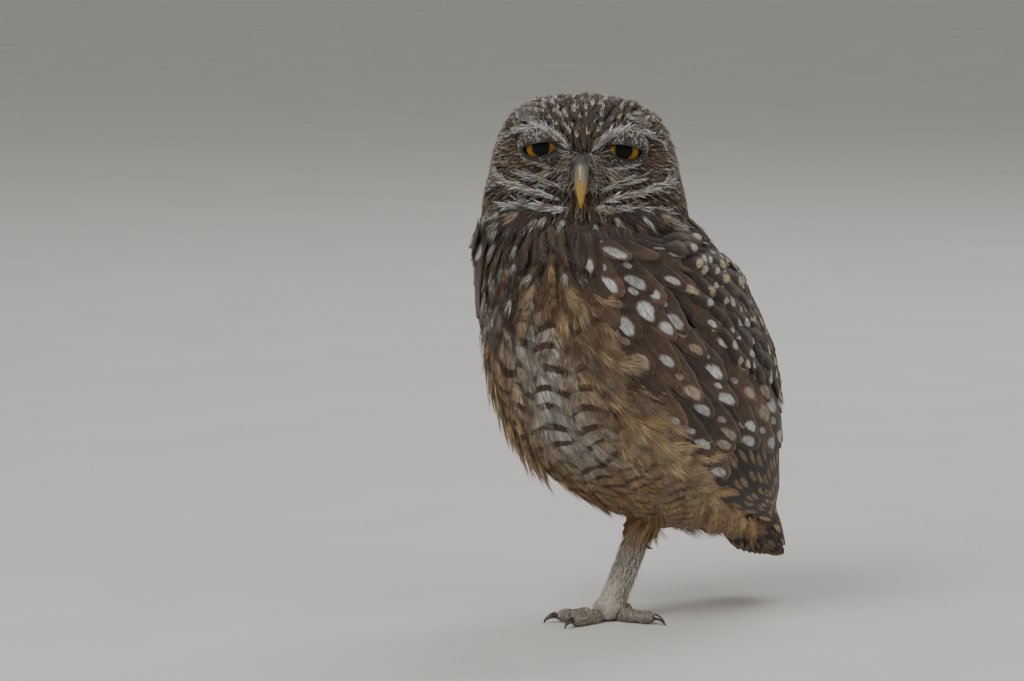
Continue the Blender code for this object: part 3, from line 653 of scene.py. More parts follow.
class Wiring:
    """Short ways to wire the nodes of one material."""

    def __init__(self, name, roughness, sheen=0.0, coat=0.0):
        self.made = bpy.data.materials.new(name)
        self.made.use_nodes = True
        self.nodes = self.made.node_tree.nodes
        self.shader = self.nodes["Principled BSDF"]
        self.shader.inputs["Roughness"].default_value = roughness
        self.shader.inputs["Sheen Weight"].default_value = sheen
        self.shader.inputs["Coat Weight"].default_value = coat
        self.shader.inputs["Coat Roughness"].default_value = 0.05

    def put(self, socket, value):
        """Links a value from another node, or sets a constant."""
        if isinstance(value, Wire):
            self.made.node_tree.links.new(value.socket, socket)
        else:
            socket.default_value = value

    def node(self, kind, values, output=0, **settings):
        """A new node with its settings and inputs; gives one of its outputs."""
        made = self.nodes.new("ShaderNode" + kind)
        for name, value in settings.items():
            setattr(made, name, value)
        for key, value in values.items():
            self.put(made.inputs[key], value)
        return Wire(self, made.outputs[output])

    def math(self, operation, first, second=0.0):
        return self.node("Math", {0: first, 1: second}, operation=operation)

    def hypot(self, x, y):
        return self.math("SQRT", x * x + y * y)

    def ramp(self, value, low, high, start=0.0, end=1.0):
        """A smooth change from start at low to end at high."""
        values = dict(enumerate((value, low, high, start, end)))
        return self.node("MapRange", values, interpolation_type="SMOOTHSTEP")

    def mix(self, share, first, second):
        """The first colour where the share is 0, the second where it is 1."""
        return self.node("Mix", {0: share, 6: first, 7: second}, 2, data_type="RGBA")

    def scale(self, colour, amount):
        return self.node("VectorMath", {0: colour, 3: amount}, operation="SCALE")

    def split(self, vector):
        return [self.node("SeparateXYZ", {0: vector}, output) for output in range(3)]

    def join(self, x, y, z):
        return self.node("CombineXYZ", {0: x, 1: y, 2: z})

    def uv(self, name):
        return self.split(self.node("UVMap", {}, uv_map=name))[:2]

    def attribute(self, name, output="Color"):
        return self.node("Attribute", {}, output, attribute_name=name)

    def place(self, turn=0.0, centre=(0.0, 0.0, 0.0)):
        """Object coordinates, turned about the upright and centred."""
        own = self.node("TexCoord", {}, "Object")
        values = {"Vector": own, "Location": centre, "Rotation": (0.0, 0.0, turn)}
        return self.node("Mapping", values, vector_type="TEXTURE")

    def noise(self, vector, scale, detail=2.0):
        return self.node("TexNoise", {"Vector": vector, "Scale": scale, "Detail": detail})

    def relief(self, height, strength, distance):
        values = {"Strength": strength, "Distance": distance, "Height": height}
        self.put(self.shader.inputs["Normal"], self.node("Bump", values))

    def colour(self, value):
        """Sets the shader's colour, and gives the material."""
        self.put(self.shader.inputs["Base Color"], value)
        return self.made


def spot(w, u, v, centre_u, centre_v, wide, high, soft=0.25):
    """A soft-edged oval at a place of the vane."""
    away = w.hypot((u - centre_u) / wide, (v - centre_v) / high)
    return w.ramp(away, 1.0 - soft, 1.0 + soft, 1.0, 0.0)


def plain_marks(w, u, v, tone):
    """Paler towards the tip."""
    return w.ramp(v, 0.40, 0.92)

def shaft_marks(w, u, v, tone):
    """One long pale drop along the shaft, near the tip."""
    return spot(w, u, v, 0.5, (tone - 0.5) * 0.14 + 0.83, 0.34, 0.20)


def drop_marks(w, u, v, tone):
    """One small pale drop near the tip."""
    return spot(w, u, v, (tone - 0.5) * 0.3 + 0.5, 0.79, 0.27, 0.15)


def covert_marks(w, u, v, tone):
    """One round spot near the tip, and now and then a small one above it."""
    long = w.attribute("Band", "Fac")
    shift = w.math("FRACT", tone * 7.3) - 0.5
    size = w.math("FRACT", tone * 13.7)
    u = u + (w.noise(w.place(), 420.0) - 0.5) * 0.16
    centre = shift * 0.26 + 0.52
    wide = size * 0.12 + 0.17
    first = spot(w, u, v, centre, 1.0 - 0.46 / long, wide, wide * 1.1 / long, 0.28)
    second = spot(w, u, v, 1.0 - centre, 1.0 - 1.15 / long, 0.13, 0.15 / long, 0.2)
    return w.math("MAXIMUM", first, second * w.ramp(size, 0.40, 0.42))


def flight_marks(w, u, v, tone):
    """Rows of paired spots along both edges, and a pale tip."""
    row = w.math("FRACT", v * 8.5 + tone * 0.9)
    left = spot(w, u, row, 0.20, 0.5, 0.19, 0.30)
    right = spot(w, u, row, 0.80, 0.5, 0.17, 0.28)
    return w.math("MAXIMUM", w.math("MAXIMUM", left, right), w.ramp(v, 0.965, 0.99))


def bar_marks(w, u, v, tone):
    """Broken brown bars across the breast and belly."""
    drift = (w.noise(w.place(), 60.0) - 0.5) * 6.0
    wave = w.math("SINE", w.attribute("Band", "Fac") + drift)
    gap = w.ramp(w.noise(w.place(), 150.0), 0.40, 0.55)
    return w.ramp(wave, 0.15, 0.60) * (gap * 0.7 + 0.3)


def feather_finish(name, marks, roughness=0.78, barbs=0.30, downy=False, stiff=False):
    """A vane of barbs over its ground colour, with markings and a fine shaft; stiff ones get painted shade
    towards the root.
    """
    w = Wiring(name, roughness, sheen=0.12)
    u, v = w.uv("Vane")
    tone = w.attribute("Tone", "Fac")
    colour = w.mix(marks(w, u, v, tone), w.attribute("Ground"), w.attribute("Mark"))
    across = abs(u - 0.5)
    slant = u * 34.0 if downy else v * 30.0 - across * 14.0
    lengthways = (v if downy else across) * 3.0
    streak = w.noise(w.join(slant, lengthways, tone * 90.0), 1.6, 3.0)
    shaft = w.ramp(across, 0.012, 0.05, 0.72, 1.0)
    shade = w.ramp(streak, 0.25, 0.75, 1.0 - barbs, 1.0 + barbs * 0.6) * shaft
    if stiff:
        # Darker towards the root: painted shade where each feather lies under the ones above it; paler along
        # the edges
        shade = shade * w.ramp(v, 0.35, 0.95, 0.50, 1.18) * w.ramp(across, 0.38, 0.49, 1.0, 1.7)
        shade = shade * w.ramp(w.noise(w.place(), 260.0, 4.0), 0.3, 0.7, 0.78, 1.22)
        w.relief(streak, 0.6, 0.0004)
    return w.colour(w.scale(colour, shade))


def skin_finish():
    """The down under the feathers, with the coat's own markings."""
    w = Wiring("down_skin", 0.9, sheen=0.1)
    grain = w.noise(w.place(), 900.0, 4.0)
    w.relief(grain, 0.5, 0.0006)
    return w.colour(w.scale(w.attribute("Ground"), w.ramp(grain, 0.3, 0.7, 0.65, 1.15)))


def eye_finish():
    """Amber iris with radial fibres and painted shadow of the upper lid across its top, a black pupil and a
    dark rim, under a wet coat.
    """
    look = bpy.context.scene.owl_eyes
    w = Wiring("wet_eye", 0.10, coat=0.04)
    w.shader.inputs["Specular IOR Level"].default_value = 0.08
    u, v = w.uv("Iris")
    x = u - 0.5
    y = v - 0.5
    away = w.hypot(x, y)
    fibres = w.noise(w.join(w.math("ARCTAN2", y, x) * 5.0, away * 9.0, 0.0), 3.0, 4.0)
    iris = w.mix(w.ramp(fibres, 0.3, 0.7), (*look.iris_dark, 1.0), (*look.iris_bright, 1.0))
    pupil = look.pupil_width / 2 / (EYE_RADIUS * 2)
    rim = look.iris_width / 2 / (EYE_RADIUS * 2)
    # Darker towards the pupil, and darker across the top: painted shadow of the upper lid
    ring_and_lid_shadow = w.ramp(away, pupil, rim, 0.75, 1.05) * w.ramp(v, 0.52, 0.62, 1.0, 0.55)
    inside = w.ramp(away, pupil * 0.95, pupil * 1.06, 1.0, 0.0)
    colour = w.mix(inside, w.scale(iris, ring_and_lid_shadow), (0.004, 0.004, 0.005, 1.0))
    return w.colour(w.mix(w.ramp(away, rim * 0.93, rim * 1.02), colour, (0.010, 0.008, 0.007, 1.0)))


def lid_finish():
    """Dark grey lids, paler in fine folds away from their wet edge."""
    w = Wiring("lid_skin", 0.45)
    edge = w.attribute("Edge", "Fac")
    grain = w.noise(w.place(), 2600.0, 3.0)
    w.relief(grain, 0.5, 0.0002)
    colour = w.mix(w.ramp(edge, 0.10, 0.60), (0.010, 0.009, 0.009, 1.0), (0.050, 0.044, 0.042, 1.0))
    return w.colour(w.scale(colour, w.ramp(grain, 0.3, 0.7, 0.7, 1.3)))


def beak_finish():
    """Greenish grey horn at the sides and root, yellow along the ridge and the tip."""
    w = Wiring("beak_horn", 0.32, coat=0.15)
    aside, ahead, up = w.split(w.place(HEAD_YAW, tuple(HEAD_CENTRE)))
    down = w.ramp(up, -0.0010, -0.0085)
    ridge = w.ramp(abs(aside), 0.0003, 0.0018, 0.5, 0.0)
    grain = w.noise(w.join(aside * 3.0, ahead, up * 0.4), 1400.0, 3.0)
    yellow = (0.36, 0.205, 0.028, 1.0)
    grey = (0.125, 0.145, 0.118, 1.0)
    colour = w.mix(w.math("MAXIMUM", down * 0.95, ridge), grey, yellow)
    colour = w.mix(w.ramp(up, 0.0005, 0.0030), colour, (0.075, 0.070, 0.065, 1.0))
    w.relief(grain, 0.25, 0.0002)
    return w.colour(w.scale(colour, w.ramp(grain, 0.3, 0.7, 0.85, 1.12)))


def toe_finish():
    """Dry scaled skin on the toes."""
    w = Wiring("toe_skin", 0.62)
    cells = w.node("TexVoronoi", {"Vector": w.place(), "Scale": 900.0}, "Distance")
    edge = w.ramp(cells, 0.15, 0.65, 1.0, 0.0)
    grain = w.noise(w.place(), 500.0, 3.0)
    colour = w.mix(w.ramp(grain, 0.3, 0.7), (0.20, 0.17, 0.13, 1.0), (0.34, 0.29, 0.23, 1.0))
    w.relief(edge, 0.7, 0.0004)
    return w.colour(w.scale(colour, w.ramp(edge, 0.0, 1.0, 0.55, 1.1)))


def claw_finish():
    """Blackish horn, a little worn and paler towards its root."""
    w = Wiring("claw_horn", 0.30, coat=0.2)
    grain = w.noise(w.place(), 1200.0, 4.0)
    w.relief(grain, 0.15, 0.0002)
    return w.colour(w.mix(w.ramp(grain, 0.35, 0.75), (0.018, 0.016, 0.015, 1.0), (0.060, 0.052, 0.045, 1.0)))


# Piece makers


def pick(pieces):
    """Selects objects alone, the first of them active."""
    bpy.ops.object.select_all(action="DESELECT")
    for piece in pieces:
        piece.select_set(True)
    bpy.context.view_layer.objects.active = pieces[0]


def modify(obj, kind, **settings):
    """Adds a modifier to the active object and applies it."""
    made = obj.modifiers.new(kind.title(), kind)
    for name, value in settings.items():
        setattr(made, name, value)
    bpy.ops.object.modifier_apply(modifier=made.name)


def copy_solids(names):
    """One mesh copied from several of the frame's solids, with its doubles merged."""
    copies = []
    for name in names:
        obj = bpy.data.objects.new("copy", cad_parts[name].data.copy())
        bpy.context.scene.collection.objects.link(obj)
        obj.data.materials.clear()
        copies.append(obj)
    pick(copies)
    if len(copies) > 1:
        bpy.ops.object.join()
    bpy.ops.object.mode_set(mode="EDIT")
    bpy.ops.mesh.select_all(action="SELECT")
    bpy.ops.mesh.remove_doubles(threshold=1e-5)
    bpy.ops.object.mode_set(mode="OBJECT")
    return copies[0]


def remesh(obj, voxel, rounds):
    """One smooth closed surface from a mesh."""
    pick((obj,))
    modify(obj, "REMESH", mode="VOXEL", voxel_size=voxel)
    modify(obj, "SMOOTH", factor=0.5, iterations=rounds)
    bpy.ops.object.shade_smooth()


def rename(obj, name, finish):
    """Names an object and its mesh, and gives it its finish."""
    obj.name = name
    obj.data.name = name
    obj.data.materials.clear()
    obj.data.materials.append(finish)


def eye_frame(side):
    """An eye's centre, its axis and the two directions across it."""
    centre = head_to_world(EYE_SPACING / 2 * side, EYE_FORWARD, EYE_RISE)
    yaw = EYE_SPLAY * side
    flat = math.cos(EYE_PITCH)
    axis = unit(head_to_world(math.sin(yaw) * flat, math.cos(yaw) * flat, math.sin(EYE_PITCH)) - HEAD_CENTRE)
    across = unit(np.cross((0.0, 0.0, 1.0), axis))
    return centre, axis, across, np.cross(axis, across)


def lens_point(side, x, y, proud):
    """A place over the front of the flattened eyeball."""
    centre, axis, across, upright = eye_frame(side)
    radius = EYE_RADIUS + proud
    flat = (EYE_RADIUS * EYE_FLATNESS + proud) / radius
    depth = np.sqrt(np.maximum(radius ** 2 - x ** 2 - y ** 2, 0.0)) * flat
    return centre + outer(x, across) + outer(y, upright) + outer(depth, axis)


def opening(turn, side):
    """The almond between the lids, in the eye's own plane."""
    x = np.cos(turn) * EYE_SLIT_WIDTH / 2
    rise = np.sign(np.sin(turn)) * np.abs(np.sin(turn)) ** 0.85
    y = rise * EYE_SLIT_HEIGHT * np.where(rise > 0, 0.33, 0.57)
    tilt = -EYE_SLIT_TILT * side
    return x * math.cos(tilt) - y * math.sin(tilt), x * math.sin(tilt) + y * math.cos(tilt)


def lid_place(turn, side, share, wide):
    """Across and up in the eye's plane, from beside the opening at share 0 to a circle at 1."""
    x, y = opening(turn, side)
    start = LID_START * (1 - share)
    return x * start + np.cos(turn) * wide * share, y * start + np.sin(turn) * wide * share


# Sizes and colours that a user may change


def colour_property(name, description, default):
    """A colour that a user may change."""
    return FloatVectorProperty(
        name=name, description=description, default=default, subtype="COLOR", size=3, min=0.0, max=1.0
    )


def length_property(name, description, default):
    """A length that a user may change, in metres."""
    return FloatProperty(
        name=name, description=description, default=default, min=0.0, unit="LENGTH", precision=5
    )


class OwlPlumage(bpy.types.PropertyGroup):
    """Feather sizes and colours"""

    seed: IntProperty(name="Seed", description="Start of the random draws", default=4, min=0)
    coat_depth: length_property("Coat depth", "How deep the skin lies under the solids", 0.0024)
    face_spacing: length_property("Face spacing", "Distance between face feathers", 0.00105)
    crown_spacing: length_property("Crown spacing", "Distance between crown feathers", 0.00185)
    body_spacing: length_property("Body spacing", "Distance between body feathers", 0.00225)
    brown: colour_property("Brown", "Crown, breast and back", (0.078, 0.045, 0.025))
    # Dark brown is painted shade in the hollows round the eyes and of the breast, and also darkens the top of
    # the crown
    dark: colour_property("Dark brown", "Deep parts of the face and breast", (0.030, 0.018, 0.011))
    wing_brown: colour_property("Wing brown", "Ground of the wings", (0.066, 0.038, 0.022))
    spot_white: colour_property("Spot white", "Greyish white of the large spots", (0.42, 0.425, 0.405))
    spot_buff: colour_property("Spot buff", "Buff of the smaller spots", (0.36, 0.22, 0.115))
    buff: colour_property("Buff", "Ground of the belly", (0.40, 0.240, 0.100))
    cream: colour_property("Cream", "Palest belly and flank", (0.54, 0.405, 0.225))
    gold: colour_property("Gold", "Long hairs beside the breast's hollow", (0.300, 0.170, 0.065))
    ochre: colour_property("Ochre", "Lower belly and vent", (0.420, 0.240, 0.090))
    rufous: colour_property("Rufous", "Bars of the breast and belly", (0.105, 0.046, 0.018))
    brow_white: colour_property("Brow white", "Eyebrows and cheek bands", (0.46, 0.475, 0.475))
    leg_white: colour_property("Leg white", "Feathers of the shank", (0.60, 0.54, 0.46))


class OwlEyes(bpy.types.PropertyGroup):
    """Eye sizes and colours"""

    pupil_width: length_property("Pupil", "Width of the pupil", 0.0069)
    iris_width: length_property("Iris", "Width of the iris", 0.0118)
    iris_bright: colour_property("Bright iris", "Outer fibres", (0.30, 0.155, 0.016))
    iris_dark: colour_property("Dark iris", "Inner fibres", (0.16, 0.072, 0.008))


class OwlStage(bpy.types.PropertyGroup):
    """Camera, floor and lights"""

    azimuth: FloatProperty(
        name="Azimuth", description="Camera's turn round the bird", default=math.radians(42), subtype="ANGLE"
    )
    elevation: FloatProperty(
        name="Elevation", description="Camera's height angle", default=math.radians(6), subtype="ANGLE"
    )
    distance: length_property("Distance", "Camera's distance", 2.5)
    aside: FloatProperty(
        name="Aim aside", description="Aim to the right of the foot", default=-0.0385, unit="LENGTH"
    )
    above: FloatProperty(name="Aim above", description="Aim above the foot", default=0.111, unit="LENGTH")
    lens: FloatProperty(name="Lens", description="Focal length in millimetres", default=221.4)
    floor: colour_property("Floor", "Plain pale floor", (0.62, 0.60, 0.57))


# Operators


class OWL_OT_skin(bpy.types.Operator):
    """One skin under all the feathers, from the beak's root to the foot"""

    bl_idname = "owl.skin"
    bl_label = "Skin"

    def execute(self, context):
        look = context.scene.owl_plumage
        flesh = (
            "torso", "neck", "head", "thigh_left", "shank_left", "foot_left", "shank_right", "foot_right",
        )
        skin = copy_solids(flesh)
        pick((skin, wing_bed(1), wing_bed(-1), tail_bed()))
        bpy.ops.object.join()
        remesh(skin, 0.0011, 3)
        mesh = skin.data
        points = read_points(mesh)
        normals = np.empty(points.size, dtype=np.float32)
        mesh.vertex_normals.foreach_get("vector", normals)
        depth = look.coat_depth * (0.30 + 0.70 * ease(points[:, 2], 0.035, 0.060))
        on_wing = np.abs(points[:, 0]) > WING_SIDE
        inward = normals.reshape(-1, 3) * np.where(on_wing, 0.0006, depth)[:, None]
        left, forward, up = head_local(points)
        socket = ((1 - ease(from_eye(left, up), 0.0090, 0.0120)) * (forward > FACE_FRONT))[:, None]
        ahead = head_turn(np.array(((0.0, 1.0, 0.0),)))
        points = points - inward * (1 - socket) - ahead * 0.0026 * socket
        move_points(mesh, points)
        colour_layer(mesh, "Ground", coat_colour(points))
        rename(skin, "skin", skin_finish())
        mount(skin, flesh)
        return {"FINISHED"}


def wing_bed(side):
    """The folded wing's arm and quills under its feathers."""
    shares = np.linspace(0.04, 0.96, 14)
    rings = []
    for station in np.linspace(0.6, 9.2, 40):
        level = np.full(len(shares), station)
        above = wing_xyz(side, level, shares, -0.0010)
        below = wing_xyz(side, level, shares[::-1], -0.0060)
        rings.append(np.concatenate((above, below)))
    return closed_piece("bed", rings, side > 0)


def tail_frame():
    """The tail's own direction, and the direction over it."""
    axis = unit(TAIL_TIP - TAIL_ROOT)
    return axis, np.array((0.0, -axis[2], axis[1]))


def round_tail(turn, wide, deep):
    """Steps from the tail's middle line to places round it."""
    return outer(np.cos(turn) * wide, (1.0, 0.0, 0.0)) + outer(np.sin(turn) * deep, tail_frame()[1])


def tail_bed():
    """The rump and the down under the tail."""
    axis, _ = tail_frame()
    turn = np.linspace(0, 2 * math.pi, 20, endpoint=False)
    rings = []
    for share in np.linspace(0.0, 0.74, 12):
        wide = TAIL_HALF_WIDTH * (0.82 + 0.14 * share)
        under = 0.0095 * (1 - share ** 1.6) + 0.0004
        deep = np.where(np.sin(turn) > 0, 0.0008, under)
        rings.append(TAIL_ROOT + axis * TAIL_LENGTH * share + round_tail(turn, wide, deep))
    return closed_piece("bed", rings)


class OWL_OT_eyes(bpy.types.Operator):
    """Two flattened eyeballs with amber irises, as deep in the head as the sockets"""

    bl_idname = "owl.eyes"
    bl_label = "Eyes"

    def execute(self, context):
        finish = eye_finish()
        for side, name in ((1, "eye_left"), (-1, "eye_right")):
            bpy.ops.object.select_all(action="DESELECT")
            bpy.ops.mesh.primitive_uv_sphere_add(segments=64, ring_count=40, radius=EYE_RADIUS - 0.00005)
            eye = context.object
            mesh = eye.data
            centre, axis, across, upright = eye_frame(side)
            turn = Matrix((across, upright, axis)).transposed().to_4x4()
            flatten = Matrix.Diagonal((1.0, 1.0, EYE_FLATNESS, 1.0))
            layer = mesh.uv_layers.active
            layer.name = "Iris"
            for loop in mesh.loops:
                place = mesh.vertices[loop.vertex_index].co
                across = 0.5 + (place.x + 0.0008 * side) / (2 * EYE_RADIUS) if place.z > 0 else 0.0
                layer.data[loop.index].uv = (across, 0.5 + place.y / (2 * EYE_RADIUS))
            mesh.transform(Matrix.Translation(Vector(centre)) @ turn @ flatten)
            bpy.ops.object.shade_smooth()
            rename(eye, name + "_wet", finish)
            mount(eye, (name,))
        return {"FINISHED"}


class OWL_OT_lids(bpy.types.Operator):
    """Half-closed lids with a rounded edge and fine folds round each eye"""

    bl_idname = "owl.lids"
    bl_label = "Eyelids"

    def execute(self, context):
        finish = lid_finish()
        count = 96
        folds = 12
        turn = np.linspace(0, 2 * math.pi, count, endpoint=False)
        for side, name in ((1, "lids_left"), (-1, "lids_right")):
            x, y = opening(turn, side)
            rings = []
            edges = []
            for grow, proud in (
                (0.95, -0.0006), (0.97, 0.0002), (1.00, 0.0008), (1.05, 0.0011), (LID_START, 0.0010),
            ):
                rings.append(lens_point(side, x * grow, y * grow, proud))
                edges.append(0.0 if grow < 1.04 else 0.08)
            for i in range(1, folds + 1):
                share = i / folds
                proud = 0.0010 + 0.00016 * math.cos(i * math.pi) - 0.0004 * share ** 2
                crease = 0.0005 * bump(share - 0.38, 0.12) * np.maximum(np.sin(turn), 0.0)
                fold = lid_place(turn, side, share, EYE_RADIUS * 1.10)
                rings.append(lens_point(side, *fold, proud - crease))
                edges.append(0.15 + 0.85 * share)
            faces = np.array(ring_faces(len(rings), count))[:, ::-1]
            lid = mesh_object(name, np.concatenate(rings), faces, finish)
            number_layer(lid.data, "Edge", np.repeat(edges, count))
            pick((lid,))
            modify(lid, "SOLIDIFY", thickness=0.0003, offset=-1.0)
            mount(lid)
        return {"FINISHED"}


class OWL_OT_beak(bpy.types.Operator):
    """The hooked beak with its swollen cere and nostrils, and the lower beak"""

    bl_idname = "owl.beak"
    bl_label = "Beak"

    def execute(self, context):
        finish = beak_finish()
        for name in ("beak_upper", "beak_lower"):
            piece = copy_solids((name,))
            remesh(piece, 0.00022, 8)
            points = read_points(piece.data)
            left, _, up = head_local(points)
            narrow = left * (0.15 + 0.10 * ease(-up, 0.002, 0.014))
            aside = head_turn(np.array(((1.0, 0.0, 0.0),)))
            move_points(piece.data, points - narrow[:, None] * aside)
            rename(piece, name + "_horn", finish)
            mount(piece, (name,))
        return {"FINISHED"}


class OWL_OT_feet(bpy.types.Operator):
    """Toes with rows of pads and scales, and their curved claws"""

    bl_idname = "owl.feet"
    bl_label = "Toes and claws"

    def execute(self, context):
        for kind, name, finish, voxel, rounds, slot in (
            ("toe", "toes", toe_finish(), 0.00032, 6, "toe_skin"),
            ("claw", "claws", claw_finish(), 0.0002, 2, "claw_horn"),
        ):
            nodes = tuple(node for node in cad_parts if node.startswith(kind))
            piece = copy_solids(nodes)
            remesh(piece, voxel, rounds)
            rename(piece, name, finish)
            mount(piece, nodes)
        return {"FINISHED"}


# Colours of the coat


def head_colour(points):
    """The ground colour of the head's feathers at places on it."""
    left, forward, up = head_local(points)
    side = np.abs(left)
    facing = ease(forward, 0.002, 0.010)
    lore = bump(side - 0.0060, 0.0030) * bump(up - 0.0045, 0.0060)
    cheek = bump(side - 0.027, 0.006) * bump(up - 0.003, 0.008)
    chin = bump(side, 0.0060) * ease(up, -0.009, -0.013)
    colours = paint(np.tile(ink("brown"), (len(points), 1)), ease(up, 0.014, 0.020) * 0.2, ink("dark"))
    # Darker round the eyes: painted shade in the face's hollows
    colours = paint(colours, facing * bump(from_eye(left, up), 0.011) * 0.75, ink("dark"))
    colours = paint(colours, facing * cheek * 0.35, ink("spot_buff"))
    colours = paint(colours, facing * lore * 0.15, ink("brow_white"))
    for line, wide, amount in (
        (BROW_LINE, 0.0008, 0.35),
        (PATCH_LINE, 0.0014, 0.22),
        (CHEEK_LINE, 0.0008, 0.30),
        (THROAT_LINE, 0.0009, 0.30),
    ):
        near = 1 - ease(line_distance(side, up, line), wide * 0.7, wide * 1.7)
        colours = paint(colours, facing * amount * near, ink("brow_white"))
    return paint(colours, facing * chin * 0.55, ink("spot_buff"))


def body_place(points):
    """About which station and angle of the body places are at."""
    z = points[:, 2]
    front = np.interp(-z, -BODY_TABLE[:, 1], STATIONS)
    back = np.interp(-z, -BODY_TABLE[:, 3], STATIONS)
    ahead = ease(points[:, 1], 0.07, -0.05)
    station = front * ahead + back * (1 - ahead)
    middle = np.interp(station, STATIONS, (BODY_TABLE[:, 0] + BODY_TABLE[:, 2]) / 2)
    return station, np.arctan2(points[:, 0], middle - points[:, 1])
def body_colour(station, angle):
    """The ground colour of the body's feathers."""
    turn = np.degrees(np.abs(angle))
    signed = np.degrees(angle)
    # The hollow at the top of the breast is darkened: painted shade
    hollow = bump(signed - 5, 9) * bump(station - 1.15, 0.75)
    golden = bump(signed - 25, 9 + 3 * station) * ease(station, 0.7, 1.6)
    belly = ease(station, 2.0, 3.4) * (1 - ease(turn, 95, 120))
    belly = belly * (1 - 0.9 * ease(-signed, 16, 26) * (station < 5.6))
    cool = bump(signed - 11 - 2.5 * (station - 3), 15)
    cool = cool * ease(station, 1.9, 2.6) * (1 - ease(station, 5.0, 5.9))
    pale = ease(station, 3.0, 5.0) * bump(turn - 48, 22)
    low = ease(station, 5.6, 6.6) * (1 - ease(station, 7.6, 8.4)) * bump(turn - 15, 40)
    vent = ease(station, 7.4, 8.4) * (1 - ease(turn, 100, 130))
    colours = np.tile(ink("brown"), (len(station), 1))
    for weight, colour in (
        # painted shade in the breast's hollow
        (hollow * 0.9, ink("dark") * 0.8),
        (golden * 0.80, ink("gold")),
        (belly, ink("buff")),
        (cool * 0.85, ink("spot_white") * 1.30),
        (belly * pale * 0.6, ink("cream")),
        (low * 0.8, ink("ochre")),
        (vent * 0.7, ink("ochre") * 1.15),
    ):
        colours = paint(colours, weight, colour)
    return colours


def coat_colour(points):
    """The colour of the skin under the coat: the coat's own, a little darker."""
    colours = body_colour(*body_place(points))
    head = ease(points[:, 2], 0.160, 0.166)[:, None]
    colours = blend(head_colour(points), colours, head)
    shank = (1 - ease(points[:, 2], 0.036, 0.044)) * (points[:, 1] < 0.03)
    wing = (np.abs(points[:, 0]) > 0.030) * ease(points[:, 1], -0.035, -0.02) * (points[:, 2] < 0.155)
    colours = paint(colours, shank, ink("leg_white"))
    return paint(colours, wing * 0.9, ink("wing_brown")) * 0.62


# Feather operators


def round_bake(angle, share):
    """Places on the baked map of the body or the head: round it, and down or up it."""
    return np.column_stack((0.03 + 0.94 * (angle / (2 * math.pi) + 0.5), 0.03 + 0.94 * share))


class OWL_OT_head_coat(bpy.types.Operator):
    """Small feathers that fan back from the beak and round the eyes"""

    bl_idname = "owl.head_coat"
    bl_label = "Head feathers"

    def execute(self, context):
        look = context.scene.owl_plumage
        draw = np.random.default_rng(look.seed)
        spotted = feather_finish("crown_feather", shaft_marks)
        soft = feather_finish("face_feather", plain_marks, barbs=0.42)

        def on_face(level, angle):
            """Whether places lie ahead, and under the spotted crown's front edge."""
            left, forward, up = head_local(head_xyz(level, angle))
            hairline = np.interp(np.abs(left), (0.0, 0.0045, 0.010, 0.016, 0.025, 0.031),
                                 (0.0070, 0.0090, 0.0140, 0.0172, 0.0168, 0.0155))
            return (forward > FACE_FRONT) & (up < hairline)

        def covered(level, angle):
            """Whether places carry feathers, which the eyes, the beak and the crown's pole don't."""
            left, forward, up = head_local(head_xyz(level, angle))
            at_beak = (np.abs(left) < 0.0030) & (up < 0.0053) & (up > -0.0117)
            bare = ((from_eye(left, up) < 0.0069) | at_beak) & (forward > FACE_FRONT)
            return ~(bare | (level > 7.85))

        coat = Coat()
        face = spread(head_xyz, (0.0, 6.2), (-1.75, 1.75), look.face_spacing, draw,
                      lambda a, b: on_face(a, b) & covered(a, b))
        self.lay(coat, draw, face, 0.0042, 0.0011, 8, False)
        coat.finish("face_feathers", soft, SPOTTED)

        coat = Coat()
        crown = spread(head_xyz, (0.0, 8.0), (-math.pi, math.pi), look.crown_spacing, draw,
                       lambda a, b: ~on_face(a, b) & covered(a, b))
        self.lay(coat, draw, crown, 0.0064, 0.0031, 22, True)
        coat.finish("crown_feathers", spotted, SPOTTED)
        return {"FINISHED"}

    def lay(self, coat, draw, places, length, width, barbs, spots):
        """Feathers at places of the head: longer at the nape and low down, shorter round the eyes."""
        level, angle = places
        count = len(level)
        deep = -0.0013 - 0.0012 * ease(level, 4.0, 6.5) * spots
        root, up, _ = surface_frame(head_xyz, level, angle, -1.0, deep)
        left, forward, high = head_local(root)
        heading = flat_on(head_heading(left, forward, high), up)
        heading = turn_along(heading, up, draw.normal(0.0, 0.14, count))
        nape = ease(-forward, -0.006, 0.020)
        low = ease(-high, 0.004, 0.016)
        by_eye = bump(from_eye(left, high), 0.0095) * (forward > FACE_FRONT)
        reach = length * (1 + 0.55 * nape + 0.60 * low) * (1 - 0.55 * by_eye) * draw.uniform(0.85, 1.2, count)
        wide = width * (1 + 0.45 * nape) * draw.uniform(0.85, 1.15, count)
        ground = head_colour(root) * draw.uniform(0.72, 1.22, count)[:, None]
        if spots:
            pale = chance(draw, 0.60, count)
            tint = draw.random(count)[:, None]
            speck = blend(ink("cream") * 0.85, ink("spot_white"), tint)
            mark = np.where(pale, speck * 1.25, ground)
        else:
            streak = chance(draw, 0.40, count)
            pale = ink("spot_buff") * 0.6 + ink("brow_white") * 0.5 * draw.random(count)[:, None]
            mark = np.where(streak, ground * 0.3 + pale, np.clip(ground * 1.5 + 0.02, 0.0, 0.8) * 0.8)
        rise = draw.uniform(0.16, 0.28, count) + 0.06 * (not spots)
        size = (reach, wide, rise, np.full(count, 0.12), draw.normal(0, 0.08, count))
        add_feathers(coat, (root, heading, up, round_bake(angle, level / 8)), size,
                     (ground, mark), draw, small=True, barbs=barbs, thick=0.00028)


